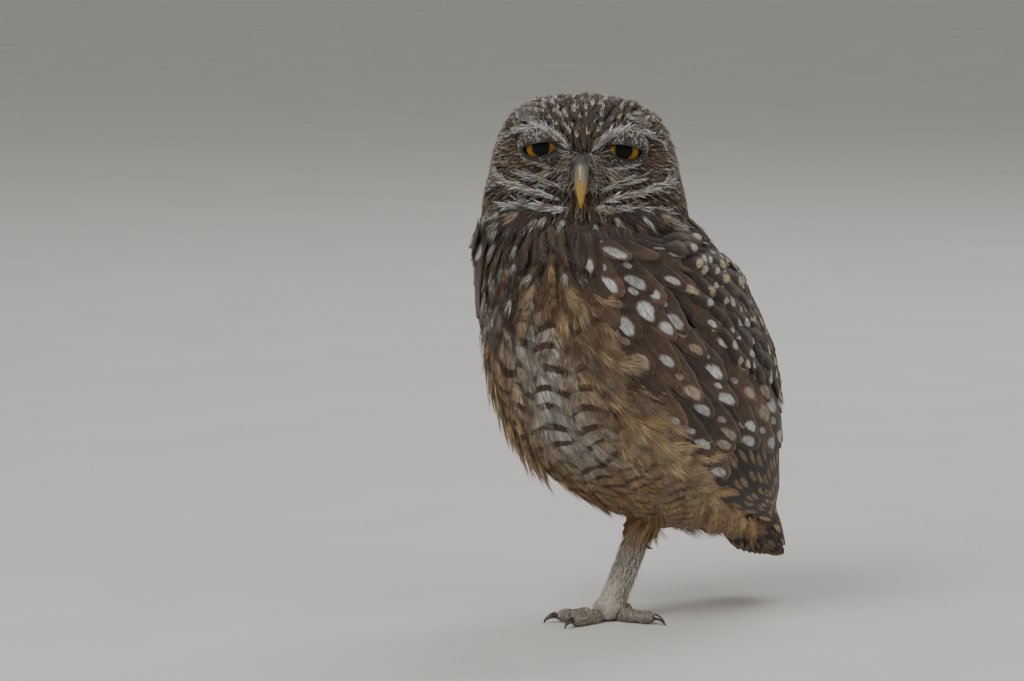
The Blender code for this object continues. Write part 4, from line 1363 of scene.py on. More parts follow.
def head_heading(left, forward, up):
    """The lie of the head's feathers: away from the beak, round the eyes, back and down."""
    place = np.column_stack((left, forward, up))
    heading = unit(place - np.array((0.0, BEAK_ROOT[1], BEAK_ROOT[2] + 0.001)))
    for side in (1, -1):
        away = place - np.array((side * EYE_SPACING / 2, EYE_FORWARD, EYE_RISE))
        reach = np.linalg.norm(away, axis=1)
        heading = heading + unit(away) * (1.6 * bump(reach, 0.0105))[:, None]
    behind = ease(-forward, -0.012, 0.010) * (1 - ease(up, 0.016, 0.026))
    heading = heading + outer(1.5 * behind, (0.0, -0.25, -1.0))
    heading = heading + outer(ease(up, 0.014, 0.024), (0.0, -1.0, 0.0))
    return head_turn(heading)


class OWL_OT_brow(bpy.types.Operator):
    """Pale eyebrows, bristles round the beak and short feathers on the lids"""

    bl_idname = "owl.brow"
    bl_label = "Brow and bristles"

    def execute(self, context):
        look = context.scene.owl_plumage
        draw = np.random.default_rng(look.seed + 1)
        soft = feather_finish("brow_feather", plain_marks, barbs=0.30)
        coat = Coat()
        white = ink("brow_white")
        for side in (1, -1):
            for line, number, wide, lengths, rise, shade in (
                (BROW_LINE, 320, 0.0011, (0.0036, 0.0058), 0.02, 1.30),
                (PATCH_LINE, 24, 0.0014, (0.0028, 0.0042), 0.05, 0.8),
                (CHEEK_LINE, 130, 0.0008, (0.0045, 0.0072), 0.02, 1.20),
                (WHISKER_LINE, 34, 0.0012, (0.0050, 0.0080), 0.10, 0.8),
                (THROAT_LINE, 190, 0.0012, (0.0050, 0.0080), -0.06, 1.20),
                (RIM_LINE, 130, 0.0030, (0.0024, 0.0038), 0.10, 0.95),
                (EYE_BAG_LINE, 34, 0.0010, (0.0020, 0.0036), -0.10, 0.8),
                (LORE_LINE, 30, 0.0026, (0.0040, 0.0070), -0.10, 0.7),
            ):
                outward = 1.0 if line is RIM_LINE else 0.0
                self.line(coat, side, line, number, wide, lengths, (rise, outward), white * shade, draw)
        coat.finish("brow_feathers", soft, SPOTTED)

        coat = Coat()
        self.bristles(coat, draw)
        coat.finish("beak_bristles", soft, SPOTTED)
        coat = Coat()
        self.lid_feathers(coat, draw)
        coat.finish("lid_feathers", soft, SPOTTED)
        return {"FINISHED"}

    def line(self, coat, side, line, count, wide, lengths, lie, colour, draw):
        """Thin feathers rooted along one of the face's pale lines, which lie along it."""
        corners = np.array(line)
        gaps = np.diff(corners, axis=0)
        steps = np.concatenate(((0.0,), np.cumsum(np.hypot(*gaps.T))))
        place = draw.uniform(0.0, steps[-1], count)
        left = np.interp(place, steps, corners[:, 0]) + draw.normal(0.0, wide * 0.5, count)
        high = np.interp(place, steps, corners[:, 1]) + draw.normal(0.0, wide * 0.5, count)
        root, up = face_spot(left * side, high, -0.0004)
        onward = unit(gaps)[np.clip(np.searchsorted(steps, place) - 1, 0, len(gaps) - 1)]
        rise, outward = lie
        flow = np.column_stack((
            side * (onward[:, 0] + outward),
            np.full(count, 0.12),
            onward[:, 1] * (1 - outward) + rise,
        ))
        flow = flat_on(head_turn(unit(flow) + draw.normal(0.0, 0.10, (count, 3))), up)
        warm = chance(draw, 0.34, count)
        ground = np.where(warm, ink("cream") * 0.55, colour) * draw.uniform(0.40, 1.15, count)[:, None]
        mark = np.clip(ground * 1.15, 0.0, 0.8)
        bake = np.column_stack((0.5 + 0.45 * side * left / 0.04, 0.05 + 0.9 * (high + 0.02) / 0.045))
        size = sizes(draw, count, lengths, (0.0004, 0.0009), (0.10, 0.24), 0.12, 0.12)
        add_feathers(coat, (root, flow, up, bake), size, (ground, mark), draw,
                     small=True, barbs=3, fan=0.8, thick=0.00022)

    def bristles(self, coat, draw):
        """Fine pale hairs that cross the cere and hang beside the beak."""
        count = 760
        side = np.where(draw.random(count) < 0.5, 1.0, -1.0)
        left = side * draw.uniform(0.0004, 0.0072, count)
        high = draw.uniform(-0.0065, 0.0064, count)
        root, up = face_spot(left, high, -0.0004)
        flow = np.column_stack((
            side * draw.uniform(-0.25, 1.0, count),
            draw.uniform(0.15, 0.70, count),
            draw.uniform(-0.9, 0.35, count) - 0.2,
        ))
        flow = unit(head_turn(flow))
        tint = draw.random(count)[:, None]
        ground = blend(ink("cream") * 0.7, ink("brow_white"), tint)
        ground = np.where(draw.random((count, 1)) < 0.60, ink("brown") * (0.4 + 1.2 * tint), ground)
        length = draw.uniform(0.0035, 0.0080, count)
        bake = np.column_stack((0.5 + 0.45 * left / 0.01, 0.05 + 0.9 * (high + 0.004) / 0.015))
        points, vane = blade_shape(
            (0.0, 0.35, 0.70), (1.0, 0.8, 0.55), root, flow, flat_on(up, flow), length,
            np.full(count, 0.00026), draw.uniform(0.0, 0.2, count), draw.uniform(0.1, 0.5, count),
            draw.normal(0.0, 0.25, count), 0.0, draw
        )
        coat.add(points, blade_faces(3), vane, bake, ground, ground, draw.random(count))

    def lid_feathers(self, coat, draw):
        """Tiny feathers that cover the lids up to a bare edge."""
        count = 1400
        for side in (1, -1):
            turn = draw.uniform(0.0, 2 * math.pi, count)
            share = draw.uniform(0.03, 1.20, count)
            x, y = lid_place(turn, side, share, EYE_RADIUS * 1.12)
            root = lens_point(side, x, y, 0.0009)
            centre, axis, across, upright = eye_frame(side)
            up = unit(root - centre + axis * 0.002)
            flow = flat_on(outer(np.cos(turn), across) + outer(np.sin(turn), upright), up)
            flow = turn_along(flow, up, draw.normal(0.0, 0.25, count))
            tint = draw.random(count)[:, None]
            fleck = (draw.random(count) < np.where(np.sin(turn) > 0, 0.40, 0.30))[:, None]
            ground = ink("brown") * (0.3 + 0.7 * tint)
            ground = np.where(fleck, ink("brow_white") * (0.25 + 0.45 * tint), ground)
            bake = np.column_stack((0.5 + 0.2 * side + x / 0.05, 0.5 + y / 0.02))
            size = sizes(draw, count, (0.0010, 0.0019), (0.0006, 0.0010), (0.16, 0.34), 0.15, 0.1,
                         (0.75 + 0.8 * share, 1.0, 1.0))
            add_feathers(coat, (root, flow, up, bake), size, (ground, ground * 1.3), draw,
                         small=True)


def face_spot(left, high, grow):
    """Places on the front of the face and their normals, from left and up."""
    level = np.interp(high, HEAD_TABLE[:, 0], np.arange(len(HEAD_TABLE)))
    half = rows_at(HEAD_TABLE, level)[:, 1]
    share = np.clip(np.abs(left) / half, 0.0, 0.999)
    angle = np.arcsin(share ** (SKULL_EXPONENT / 2)) * np.sign(left)
    return surface_frame(head_xyz, level, angle, -1.0, grow)[:2]


def beside_wing(station, angle, margin):
    """Whether places on the body are clear of the wings."""
    low, high = wing_edges_at(station)
    turn = np.abs(angle)
    edge = math.radians(margin)
    return (turn < low + edge) | (turn > high - edge) | (station < 0.5) | (station > 9.4)


def body_coat(coat, draw, area, spacing, size, turn, barbs, colour, allowed, depth, ruffle):
    """Feathers over a part of the body."""
    station, angle = spread(body_xyz, *area, spacing, draw, allowed)
    count = len(station)
    root, up, along = surface_frame(body_xyz, station, angle, 1.0, -depth)
    lie = turn(station, angle)
    heading = turn_along(along, up, lie + draw.normal(0.0, ruffle, count))
    length, width, lift, droop = size
    ground, mark = colour(station, angle)
    shorter = 1 - 0.22 * ease(station, 5.2, 6.4) * (np.abs(lie) > 0.5)
    shape = sizes(draw, count, (0.82, 1.22), (0.8, 1.2), (0.7, 1.35), droop, 0.09,
                  (length * shorter, width, lift))
    number, fan, reaches = barbs
    add_feathers(coat, (root, heading, up, round_bake(angle, station / 11.5)), shape,
                 (ground, mark), draw, barbs=number, fan=fan,
                 band=np.round(column_at(station, angle)), thick=0.00030, reaches=reaches)


class OWL_OT_body_coat(bpy.types.Operator):
    """Breast, belly, flank, back, vent and collar feathers"""

    bl_idname = "owl.body_coat"
    bl_label = "Body feathers"

    def execute(self, context):
        look = context.scene.owl_plumage
        draw = np.random.default_rng(look.seed + 2)
        spotted = feather_finish("breast_feather", shaft_marks, barbs=0.42, downy=True)
        barred = feather_finish("belly_feather", bar_marks, barbs=0.42, downy=True)
        tipped = feather_finish("flank_feather", plain_marks, barbs=0.45, downy=True)
        step = look.body_spacing

        def outward(station, angle):
            """The breast's and belly's feathers turn outwards, and inwards at the vent."""
            low = ease(station, 5.8, 7.2)
            return (0.30 - 0.58 * low) * np.sin(angle) + 0.10 * (1 - low) * bump(angle - 0.3, 0.4)

        def flank_lie(station, angle):
            return (0.50 + 0.045 * station) * np.sign(angle)

        def straight(station, angle):
            return 0.0 * angle

        def breast_colour(station, angle):
            count = len(station)
            ground = body_colour(station, angle) * draw.uniform(0.6, 1.3, count)[:, None]
            tint = draw.random(count)
            far = ease(-np.degrees(angle), 8, 24)
            share = np.where(tint < 0.4 - 0.35 * far, 1.0, 0.15)[:, None]
            speck = blend(ink("spot_buff"), ink("spot_white"), share)
            pale = draw.random(count) < 0.42 + 0.38 * far - 0.2 * bump(np.degrees(angle) - 8, 14)
            return ground, np.where(pale[:, None], speck * 0.9, ground * 1.35)

        def belly_colour(station, angle):
            count = len(station)
            ground = paint(body_colour(station, angle), (draw.random(count) < 0.25) * 0.5, ink("cream"))
            ground = vary(ground, draw, 0.88, 1.15, count)
            away = np.abs(np.degrees(angle) - 8) - 22 * ease(station, 4.8, 6.0)
            amount = 1.0 - 0.15 * ease(station, 5.4, 6.4) - 0.75 * ease(station, 7.2, 8.4)
            return ground, paint(ground, amount * (1 - 0.80 * ease(away, 24, 40)), ink("rufous"))

        def flank_colour(station, angle):
            count = len(station)
            low = ease(station, 5.0, 7.0)
            ground = paint(np.tile(ink("rufous"), (count, 1)), 0.25 + 0.5 * low, ink("gold"))
            ground = vary(ground, draw, 0.6, 1.2, count)
            tips = paint(np.tile(ink("cream"), (count, 1)), draw.random(count), ink("buff"))
            tips = paint(tips, (draw.random(count) < 0.22) * 0.6, ink("brown"))
            tips = tips * (1 + 0.30 * ease(station, 3.4, 4.6))[:, None]
            return ground, vary(tips, draw, 0.65, 1.05, count)

        def breast_limit(station, angle):
            """How much further down the spotted breast reaches on the right, with a ragged edge."""
            return 4.0 * ease(-np.degrees(angle), 14, 30) + draw.random(len(station)) * 1.2

        def breast_area(station, angle):
            limit = 1.5 + breast_limit(station, angle) + 0.7 * ease(np.degrees(angle), 36, 50)
            turn = np.abs(angle)
            shoulder = (turn > 0.75) & (turn < 1.15) & (station > 0.45) & (station < 1.0)
            return beside_wing(station, angle, 1.0) & (station < limit) & ~shoulder

        def belly_area(station, angle):
            limit = 1.3 + breast_limit(station, angle) + 0.6 * ease(np.degrees(angle), 36, 50)
            return beside_wing(station, angle, -1.0) & (station > limit)

        def back_area(station, angle):
            return beside_wing(station, angle, 6.0) & (np.abs(angle) >= 1.7)

        def flank_area(station, angle):
            edge = np.degrees(np.abs(angle) - wing_edges_at(station)[0])
            return (edge > -22) & (edge < -6) & ((angle > 0) | (station > 4.0))

        short = (0.20, 0.36)
        long = (0.26, 0.50)
        big = (0.0165, 0.0085, 0.17, 0.11)
        back = (step * 1.25, (0.0115, 0.0052, 0.20, 0.14), straight, (16, 1.1, short), breast_colour,
                back_area, 0.0020, 0.12)
        for name, finish, slot, *tract in (
            ("breast_feathers", spotted, BARRED, ((0.0, 6.8), (-1.7, 1.7)), step * 1.50,
             (0.0128, 0.0062, 0.24, 0.15), outward, (84, 1.25, short), breast_colour, breast_area,
             0.0020, 0.24),
            ("belly_feathers", barred, BARRED, ((1.3, 5.4), (-1.9, 1.9)), step * 1.40,
             big, outward, (150, 1.25, long), belly_colour, belly_area, 0.0020, 0.14),
            ("vent_feathers", barred, BARRED, ((5.4, 9.2), (-1.9, 1.9)), step * 1.50,
             big, outward, (115, 1.25, long), belly_colour, belly_area, 0.0020, 0.14),
            ("flank_feathers", tipped, BARRED, ((1.5, 6.9), (-1.6, 1.6)), step * 1.50,
             (0.0175, 0.0076, 0.20, 0.10), flank_lie, (170, 1.6, long), flank_colour, flank_area,
             0.0014, 0.20),
            ("back_feathers_left", spotted, SPOTTED, ((0.0, 8.9), (1.7, math.pi)), *back),
            ("back_feathers_right", spotted, SPOTTED, ((0.0, 8.9), (-math.pi, -1.7)), *back),
        ):
            coat = Coat()
            body_coat(coat, draw, *tract)
            coat.finish(name, finish, slot)

        coat = Coat()
        self.hanging(coat, draw)
        plume = feather_finish("plume", plain_marks, barbs=0.45, downy=True)
        coat.finish("hanging_feathers", plume, BARRED)
        coat = Coat()
        self.collar(coat, draw, step * 1.22)
        coat.finish("collar_feathers", spotted, SPOTTED)
        return {"FINISHED"}

    def hanging(self, coat, draw):
        """Long cream feathers that hang from the far flank."""
        count = 150
        station = draw.uniform(3.3, 5.9, count)
        angle = np.radians(draw.uniform(-72, -22, count) + 8 * (station - 4))
        root, up, along = surface_frame(body_xyz, station, angle, 1.0, -0.0012)
        heading = unit(along * 0.75 + np.array((0.0, 0.05, -0.60)) + draw.normal(0.0, 0.07, (count, 3)))
        ground = paint(np.tile(ink("cream"), (count, 1)), draw.random(count) * 0.7, ink("ochre"))
        ground = vary(ground, draw, 0.85, 1.25, count)
        size = sizes(draw, count, (0.014, 0.021), (0.0028, 0.0048), (0.02, 0.13), 0.08, 0.10)
        add_feathers(coat, (root, heading, flat_on(up, heading), round_bake(angle, station / 11.5)), size,
                     (ground, ground * 0.9), draw, barbs=56, fan=1.2)

    def collar(self, coat, draw, spacing):
        """Feathers rooted under the head's edge that lie over the neck and the top of the body."""
        level, angle = spread(head_xyz, (0.0, 1.25), (-math.pi, math.pi), spacing, draw)
        count = len(level)
        root, up, _ = surface_frame(head_xyz, level, angle, -1.0, -0.0016)
        left, forward, _ = head_local(root)
        side = np.sign(left) * ease(np.abs(left), 0.0, 0.010) * ease(forward, -0.02, 0.01)
        sweep = 1.05 + 0.9 * bump(left - 0.022, 0.010)
        flow = head_turn(np.column_stack((sweep * side, np.full(count, 0.12), np.full(count, -1.0))))
        flow = flat_on(unit(flow + draw.normal(0.0, 0.16, (count, 3))), up)
        dark = ease(forward, 0.0, 0.015)[:, None]
        ground = ink("brown") * (1 - 0.35 * dark) * draw.uniform(0.55, 1.25, count)[:, None]
        pale = chance(draw, 0.72, count)
        tint = draw.random(count)[:, None] ** 1.5
        speck = blend(ink("spot_buff"), ink("spot_white"), tint)
        mark = np.where(pale, speck, ground * 1.3)
        before_wing = bump(left - 0.018, 0.010) * ease(forward, 0.0, 0.012)
        longer = 1 + 0.22 * ease(forward, 0.008, 0.022) + 0.30 * before_wing
        size = sizes(draw, count, (0.0110, 0.0150), (0.0046, 0.0062), (0.14, 0.26), 0.10, 0.10,
                     (longer, 1.0, 1.0))
        add_feathers(coat, (root, flow, up, round_bake(angle, level / 8)), size,
                     (ground, mark), draw, barbs=60, fan=1.2)


def plate_faces():
    """The triangles of a thin closed plate, its upper side first."""
    rows = PLATE_ROWS
    columns = PLATE_COLUMNS
    size = rows * columns
    faces = []
    for i in range(rows - 1):
        for j in range(columns - 1):
            a = i * columns + j
            b = a + columns
            faces.append((a, a + 1, b + 1))
            faces.append((a, b + 1, b))
            faces.append((size + a, size + b + 1, size + a + 1))
            faces.append((size + a, size + b, size + b + 1))
    rim = list(range(columns))
    rim += [i * columns + columns - 1 for i in range(1, rows)]
    rim += [(rows - 1) * columns + j for j in range(columns - 2, -1, -1)]
    rim += [i * columns for i in range(rows - 2, 0, -1)]
    for a, b in zip(rim, rim[1:] + rim[:1]):
        faces.append((a, size + a, size + b))
        faces.append((a, size + b, b))
    return np.array(faces)


def plates(surface, root, tip, half, proud, tilt, draw):
    """Long feathers as thin closed plates that follow a surface."""
    count = len(half)
    t = np.linspace(0.0, 1.0, PLATE_ROWS) ** 0.85
    u = np.linspace(-1.0, 1.0, PLATE_COLUMNS)[None, None]
    tip_round = np.sqrt(np.maximum(1 - (np.clip(t - 0.66, 0, 1) / 0.345) ** 2.2, 0.02))
    wide = (0.55 + 0.45 * ease(t, 0.0, 0.35)) * tip_round
    ragged = 1 + draw.uniform(-0.07, 0.04, (count, PLATE_ROWS, 2))
    edge = np.where(u < 0, ragged[:, :, :1], ragged[:, :, 1:])
    aside = u * wide[None, :, None] * half[:, None, None] * edge
    reach = np.broadcast_to(t[None, :, None], aside.shape)
    first = root[0][:, None, None] + (tip[0] - root[0])[:, None, None] * reach
    second = root[1][:, None, None] + (tip[1] - root[1])[:, None, None] * reach
    camber = 0.0007 * (1 - u ** 2)
    height = proud[:, None, None] * (0.10 + 0.90 * reach) + camber + tilt * u
    sides = []
    for under in (0.0, PLATE_THICKNESS):
        spots = surface(first.ravel(), second.ravel(), aside.ravel(), (height - under).ravel())
        sides.append(spots.reshape(count, -1, 3))
    across = np.broadcast_to(0.5 + 0.5 * u, aside.shape)
    vane = np.stack((across, reach), axis=3).reshape(count, -1, 2)
    return np.concatenate(sides, axis=1), np.concatenate((vane, vane), axis=1)


class OWL_OT_wing_coat(bpy.types.Operator):
    """Folded wings: flight feathers, nine rows of coverts and the scapulars"""

    bl_idname = "owl.wing_coat"
    bl_label = "Wing feathers"

    def execute(self, context):
        look = context.scene.owl_plumage
        covert = feather_finish("wing_covert", covert_marks, 0.85, 0.50, stiff=True)
        flight = feather_finish("flight_feather", flight_marks, 0.80, 0.45, stiff=True)
        shawl = feather_finish("scapular", drop_marks, 0.85, 0.50, stiff=True)
        for side, name in ((1, "left"), (-1, "right")):
            draw = np.random.default_rng(look.seed + 5)
            coat = Coat()
            self.tier(coat, draw, side, 19, (5.2, 4.6), (11.0, 9.7), 0.0050, 0.0006, (0.03, 0.93), True)
            coat.finish("flight_feathers_" + name, flight, SPOTTED, ("wing_" + name,))
            coat = Coat()
            for k in range(9):
                low = 6.5 - 0.62 * k
                across = 0.0825 * np.interp(low, (1.2, 2.5, 3.5, 6.0), (0.62, 0.85, 1.0, 1.0))
                start = 0.07 if k % 2 else 0.02
                self.tier(coat, draw, side, int(across / 0.0098), (low - 1.9, low - 2.1), (low, low - 0.25),
                          0.0069 - 0.00014 * k, 0.0014 + 0.00014 * k, (start, 0.90), False)
            coat.finish("wing_coverts_" + name, covert, SPOTTED)
            coat = Coat()
            self.scapulars(coat, draw, side)
            coat.finish("scapulars_" + name, shawl, SPOTTED)
        return {"FINISHED"}

    def tier(self, coat, draw, side, count, first, last, half, proud, shares, quills):
        """One row of long feathers over the folded wing."""
        across = np.linspace(0.0, 1.0, count)
        stray = draw.normal(0.0, 0.006 if quills else 0.014, count)
        share = shares[0] + (shares[1] - shares[0]) * across + stray
        root = (np.maximum(first[0] + (first[1] - first[0]) * across, 0.2), share)
        loose = draw.normal(0.0, 0.10 if quills else 0.14, count)
        tip_station = last[0] + (last[1] - last[0]) * across ** 1.3 + loose
        tip = (tip_station, share + draw.normal(0.015, 0.01, count))
        halves = half * draw.uniform(0.90, 1.10, count)
        stand = (proud + 0.0003 * across) * (0.35 + 0.65 * ease(share, 0.0, 0.25))
        points, vane = plates(wing_surface(side), root, tip, halves, stand, 0.00065, draw)
        ground = vary(ink("wing_brown"), draw, 0.60, 1.45, count)
        buff = vary(ink("spot_buff"), draw, 0.75, 1.05, count)
        white = vary(ink("spot_white"), draw, 0.68, 1.0, count)
        if quills:
            ground = ground * 0.6
            mark = buff
        else:
            mark = np.where(chance(draw, 0.32, count), buff * 0.5 + white * 0.3, white)
            bare = 0.44 if last[0] < 3.0 else 0.14
            mark = np.where(chance(draw, bare, count), ground * 1.2, mark)
        middle = points[:, PLATE_COLUMNS // 2:PLATE_ROWS * PLATE_COLUMNS:PLATE_COLUMNS]
        reach = np.linalg.norm(np.diff(middle, axis=1), axis=2).sum(axis=1)
        aspect = np.repeat((reach / (2 * halves))[:, None], points.shape[1], axis=1)
        faces = plate_faces()
        if side > 0:
            faces = faces[:, ::-1]
        bake = np.column_stack((0.05 + 0.9 * share, 0.05 + 0.9 * root[0] / 11))
        coat.add(points, faces, vane, bake, ground, mark, draw.random(count), aspect)

    def scapulars(self, coat, draw, side):
        """Small spotted feathers that stream from the neck over the shoulder to the back's edge."""
        def over_wing(station, share):
            return wing_xyz(side, station, share, 0.0026)

        def shawl(station, share):
            edge = np.interp(station, (0.5, 0.7, 1.2, 1.9, 3.9, 4.5, 5.2, 6.0),
                             (0.6, 0.82, 0.64, 0.5, 0.45, 0.55, 0.8, 1.0))
            return share > edge + draw.normal(0.0, 0.02, len(station))

        low = spread(over_wing, (0.62, 6.0), (0.2, 1.06), 0.0037, draw, shawl)
        top = spread(over_wing, (0.02, 0.24), (-0.10, 0.96), 0.0022, draw)
        station, share = np.concatenate((low, top), axis=1)
        count = len(station)
        root, up, along = surface_frame(over_wing, station, share, float(side))
        heading = turn_along(along, up, side * (0.30 - 0.20 * share) + draw.normal(0.0, 0.12, count))
        ground = vary(ink("wing_brown"), draw, 0.65, 1.45, count)
        pale = chance(draw, 0.62, count)
        tint = draw.random(count)[:, None]
        speck = blend(ink("cream") * 0.8, ink("spot_white"), tint)
        mark = np.where(pale, speck, ground * 1.2)
        size = sizes(draw, count, (0.0125, 0.0165), (0.0054, 0.0074), (0.02, 0.07), 0.06, 0.06)
        bake = np.column_stack((0.05 + 0.85 * share, 0.05 + 0.9 * station / 11))
        add_feathers(coat, (root, heading, up, bake), size, (ground, mark), draw, barbs=3, arch=0.15)


def wing_surface(side):
    """Over one folded wing, with distances aside and over it in metres."""
    def surface(station, share, aside, height):
        step = 0.02
        here = wing_xyz(side, station, share, 0.0)
        there = wing_xyz(side, station, share + step, 0.0)
        per_metre = step / np.maximum(np.linalg.norm(there - here, axis=1), 1e-5)
        return wing_xyz(side, station, share + aside * per_metre, height)
    return surface


def tail_surface(station, share, aside, height):
    """Over the tail: station is the distance along it, and share the distance aside."""
    axis, over = tail_frame()
    across = share + aside
    lift = height - 0.10 * np.abs(across)
    return TAIL_ROOT + outer(station, axis) + outer(across, (1.0, 0.0, 0.0)) + outer(lift, over)


class OWL_OT_tail_coat(bpy.types.Operator):
    """Twelve tail feathers over one another, with buff coverts under them"""

    bl_idname = "owl.tail_coat"
    bl_label = "Tail feathers"

    def execute(self, context):
        draw = np.random.default_rng(context.scene.owl_plumage.seed + 8)
        order = np.array([side * (i + 0.45) / 5.45 for i in range(6) for side in (1, -1)])
        count = len(order)
        root = (np.full(count, 0.014), order * 0.0060)
        tip = (TAIL_LENGTH - 0.0042 * order ** 2, order * (TAIL_HALF_WIDTH - 0.0040))
        stand = 0.0016 - 0.0020 * np.abs(order)
        points, vane = plates(tail_surface, root, tip, np.full(count, 0.0058), stand, 0.0, draw)
        ground = vary(ink("wing_brown"), draw, 0.25, 0.45, count)
        mark = np.tile(ink("spot_buff") * 0.7, (count, 1))
        bake = np.column_stack((0.5 + 0.4 * order, np.full(count, 0.4)))
        coat = Coat()
        coat.add(points, plate_faces(), vane, bake, ground, mark, draw.random(count))
        coat.finish("tail_feathers", feather_finish("tail_feather", flight_marks, 0.62, 0.2),
                    SPOTTED, ("tail",))

        count = 620
        axis, _ = tail_frame()
        share = draw.uniform(0.02, 0.56, count)
        turn = draw.uniform(-math.pi + 0.15, -0.15, count)
        root = TAIL_ROOT + outer(share * TAIL_LENGTH, axis)
        root = root + round_tail(turn, TAIL_HALF_WIDTH * 0.80, 0.0085 * (1 - share ** 1.6))
        up = unit(round_tail(turn, 1.0, 1.0))
        along = turn_along(np.tile(axis, (count, 1)), up, draw.normal(0.0, 0.12, count))
        ground = paint(np.tile(ink("ochre"), (count, 1)), np.full(count, 0.5), ink("cream")) * 0.8
        ground = vary(ground, draw, 0.85, 1.1, count)
        bake = np.column_stack((0.5 + turn / 8, 0.05 + 0.9 * share))
        size = sizes(draw, count, (0.010, 0.015), (0.0035, 0.0050), (0.10, 0.18), 0.10, 0.08)
        coat = Coat()
        add_feathers(coat, (root, along, up, bake), size, (ground, ground * 1.1), draw,
                     barbs=18, fan=1.1)
        coat.finish("undertail_coverts", feather_finish("undertail_feather", plain_marks), BARRED)
        return {"FINISHED"}


def leg_xyz(share, angle, grow=0.0):
    """Places round the standing leg, from the hip at 0 past the ankle at 0.4 to the foot."""
    knots = np.array((HIP, ANKLE, (ANKLE + FOOT_TOP) / 2 + (0.0, 0.001, 0.0), FOOT_TOP - (0.0, 0.0, 0.003)))
    middle = np.stack([np.interp(share, (0.0, 0.4, 0.7, 1.0), knots[:, i]) for i in range(3)], axis=1)
    radii = (THIGH_RADIUS, 0.0122, ANKLE_RADIUS, SHANK_RADIUS, SHANK_RADIUS)
    radius = np.interp(share, (0.0, 0.2, 0.4, 0.55, 1.0), radii) + grow
    ahead = (0.0, -0.9, 0.35)
    return middle + outer(np.cos(angle) * radius, (1.0, 0.0, 0.0)) + outer(np.sin(angle) * radius, ahead)


class OWL_OT_leg_coat(bpy.types.Operator):
    """Short pale feathers on the leg, longer on the thigh and bristly at the foot"""

    bl_idname = "owl.leg_coat"
    bl_label = "Leg feathers"

    def execute(self, context):
        draw = np.random.default_rng(context.scene.owl_plumage.seed + 9)
        finish = feather_finish("leg_feather", plain_marks, barbs=0.34)
        for name, slot, first, spacing, length, width, barbs, small in (
            ("thigh_feathers", BARRED, (0.05, 0.42), 0.0020, 0.0105, 0.0042, 26, False),
            ("shank_feathers", "leg_feather", (0.36, 1.0), 0.00110, 0.0046, 0.0013, 6, True),
        ):
            share, angle = spread(leg_xyz, first, (-math.pi, math.pi), spacing, draw)
            count = len(share)
            root, up, along = surface_frame(leg_xyz, share, angle, -1.0, -0.0009)
            along = turn_along(along, up, draw.normal(0.0, 0.16, count))
            low = ease(share, 0.45, 0.75)[:, None]
            middle = leg_xyz(share, angle * 0, -0.0009)
            behind = ease(root[:, 1] - middle[:, 1], -0.001, 0.005)[:, None]
            shank = ink("leg_white") * (1 - 0.45 * behind) * np.array((1.0, 0.96, 0.90)) ** behind
            ground = vary(blend(shank, ink("ochre"), low), draw, 0.72, 1.12, count)
            bake = np.column_stack((0.5 + angle / 7, 0.05 + 0.9 * share))
            size = sizes(draw, count, (0.8, 1.2), (0.8, 1.2), (0.18, 0.34), 0.12, 0.1,
                         (length * (1 - 0.35 * ease(share, 0.85, 1.0)), width, 1.0))
            coat = Coat()
            add_feathers(coat, (root, along, up, bake), size, (ground, ground * 1.12), draw,
                         small=small, barbs=barbs, fan=1.2, thick=0.00028)
            coat.finish(name, finish, slot)
        return {"FINISHED"}


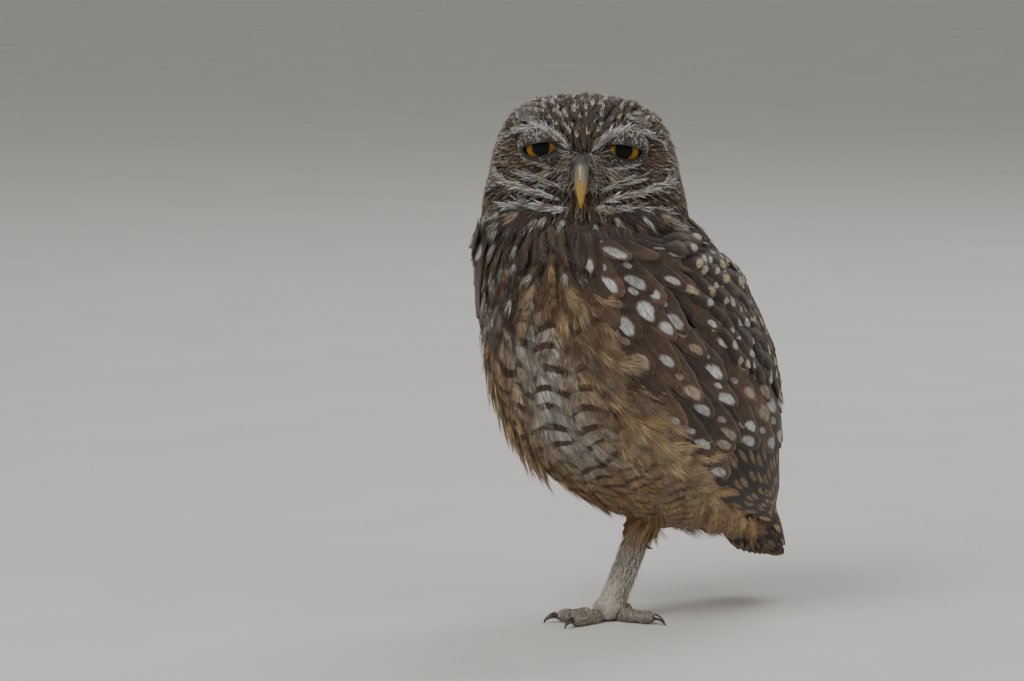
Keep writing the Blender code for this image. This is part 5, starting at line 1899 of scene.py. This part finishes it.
class OWL_OT_stage(bpy.types.Operator):
    """Plain pale floor, soft studio light and the camera"""

    bl_idname = "owl.stage"
    bl_label = "Stage"

    def execute(self, context):
        stage = context.scene.owl_stage
        bpy.ops.object.select_all(action="DESELECT")
        bpy.ops.mesh.primitive_circle_add(vertices=64, radius=30.0, fill_type="NGON")
        floor = context.object
        floor.name = "floor"
        w = Wiring("pale_floor", 0.85)
        grain = w.noise(w.place(), 14.0, 3.0)
        shade = w.ramp(grain, 0.3, 0.7, 0.98, 1.02)
        floor.data.materials.append(w.colour(w.scale(tuple(stage.floor), shade)))

        turn = stage.azimuth
        lift = stage.elevation
        right = Vector((math.cos(turn), math.sin(turn), 0.0))
        back = Vector((math.sin(turn) * math.cos(lift), -math.cos(turn) * math.cos(lift), math.sin(lift)))
        up = back.cross(right)
        aim = right * stage.aside + up * stage.above
        bpy.ops.object.camera_add(location=aim + back * stage.distance)
        camera = context.object
        camera.rotation_euler = back.to_track_quat("Z", "Y").to_euler()
        camera.data.lens = stage.lens
        camera.data.sensor_width = 36.0
        camera.data.clip_end = 100.0
        context.scene.camera = camera

        for name, aside, ahead, high, size, power in (
            ("key", -0.9, 1.3, 1.6, 1.2, 30.0),
            ("fill", 1.4, 1.2, 0.8, 1.6, 9.0),
            ("rim", 0.6, -1.3, 1.5, 1.2, 14.0),
        ):
            place = right * aside + Vector((back.x, back.y, 0.0)).normalized() * ahead + Vector((0, 0, high))
            bpy.ops.object.light_add(type="AREA", location=place)
            lamp = context.object
            lamp.name = name
            lamp.data.shape = "DISK"
            lamp.data.size = size
            lamp.data.energy = power
            lamp.rotation_euler = (place - Vector((0.0, 0.0, 0.12))).to_track_quat("Z", "Y").to_euler()
        world = bpy.data.worlds.new("studio")
        world.use_nodes = True
        sky = world.node_tree.nodes["Background"]
        sky.inputs["Color"].default_value = (0.90, 0.89, 0.87, 1.0)
        sky.inputs["Strength"].default_value = 0.42
        context.scene.world = world
        return {"FINISHED"}


STEPS = (
    OWL_OT_skin,
    OWL_OT_eyes,
    OWL_OT_lids,
    OWL_OT_beak,
    OWL_OT_feet,
    OWL_OT_head_coat,
    OWL_OT_brow,
    OWL_OT_body_coat,
    OWL_OT_wing_coat,
    OWL_OT_tail_coat,
    OWL_OT_leg_coat,
    OWL_OT_stage,
)


class OWL_PT_panel(bpy.types.Panel):
    """Lists the owl's pieces, sizes and colours"""

    bl_idname = "OWL_PT_panel"
    bl_label = "Burrowing owl"
    bl_space_type = "VIEW_3D"
    bl_region_type = "UI"
    bl_category = "Owl"

    def draw(self, context):
        layout = self.layout
        for step in STEPS:
            layout.operator(step.bl_idname)
        for group in (context.scene.owl_plumage, context.scene.owl_eyes, context.scene.owl_stage):
            box = layout.box()
            for name in group.bl_rna.properties.keys():
                if name not in ("rna_type", "name"):
                    box.prop(group, name)


GROUPS = (("owl_plumage", OwlPlumage), ("owl_eyes", OwlEyes), ("owl_stage", OwlStage))


def register():
    for name, group in GROUPS:
        bpy.utils.register_class(group)
        setattr(bpy.types.Scene, name, PointerProperty(type=group))
    for step in STEPS:
        bpy.utils.register_class(step)
    bpy.utils.register_class(OWL_PT_panel)


def unregister():
    bpy.utils.unregister_class(OWL_PT_panel)
    for step in reversed(STEPS):
        bpy.utils.unregister_class(step)
    for name, group in reversed(GROUPS):
        delattr(bpy.types.Scene, name)
        bpy.utils.unregister_class(group)


def main():
    register()
    for step in STEPS:
        group, name = step.bl_idname.split(".")
        getattr(getattr(bpy.ops, group), name)()


if __name__ == "__main__":
    main()
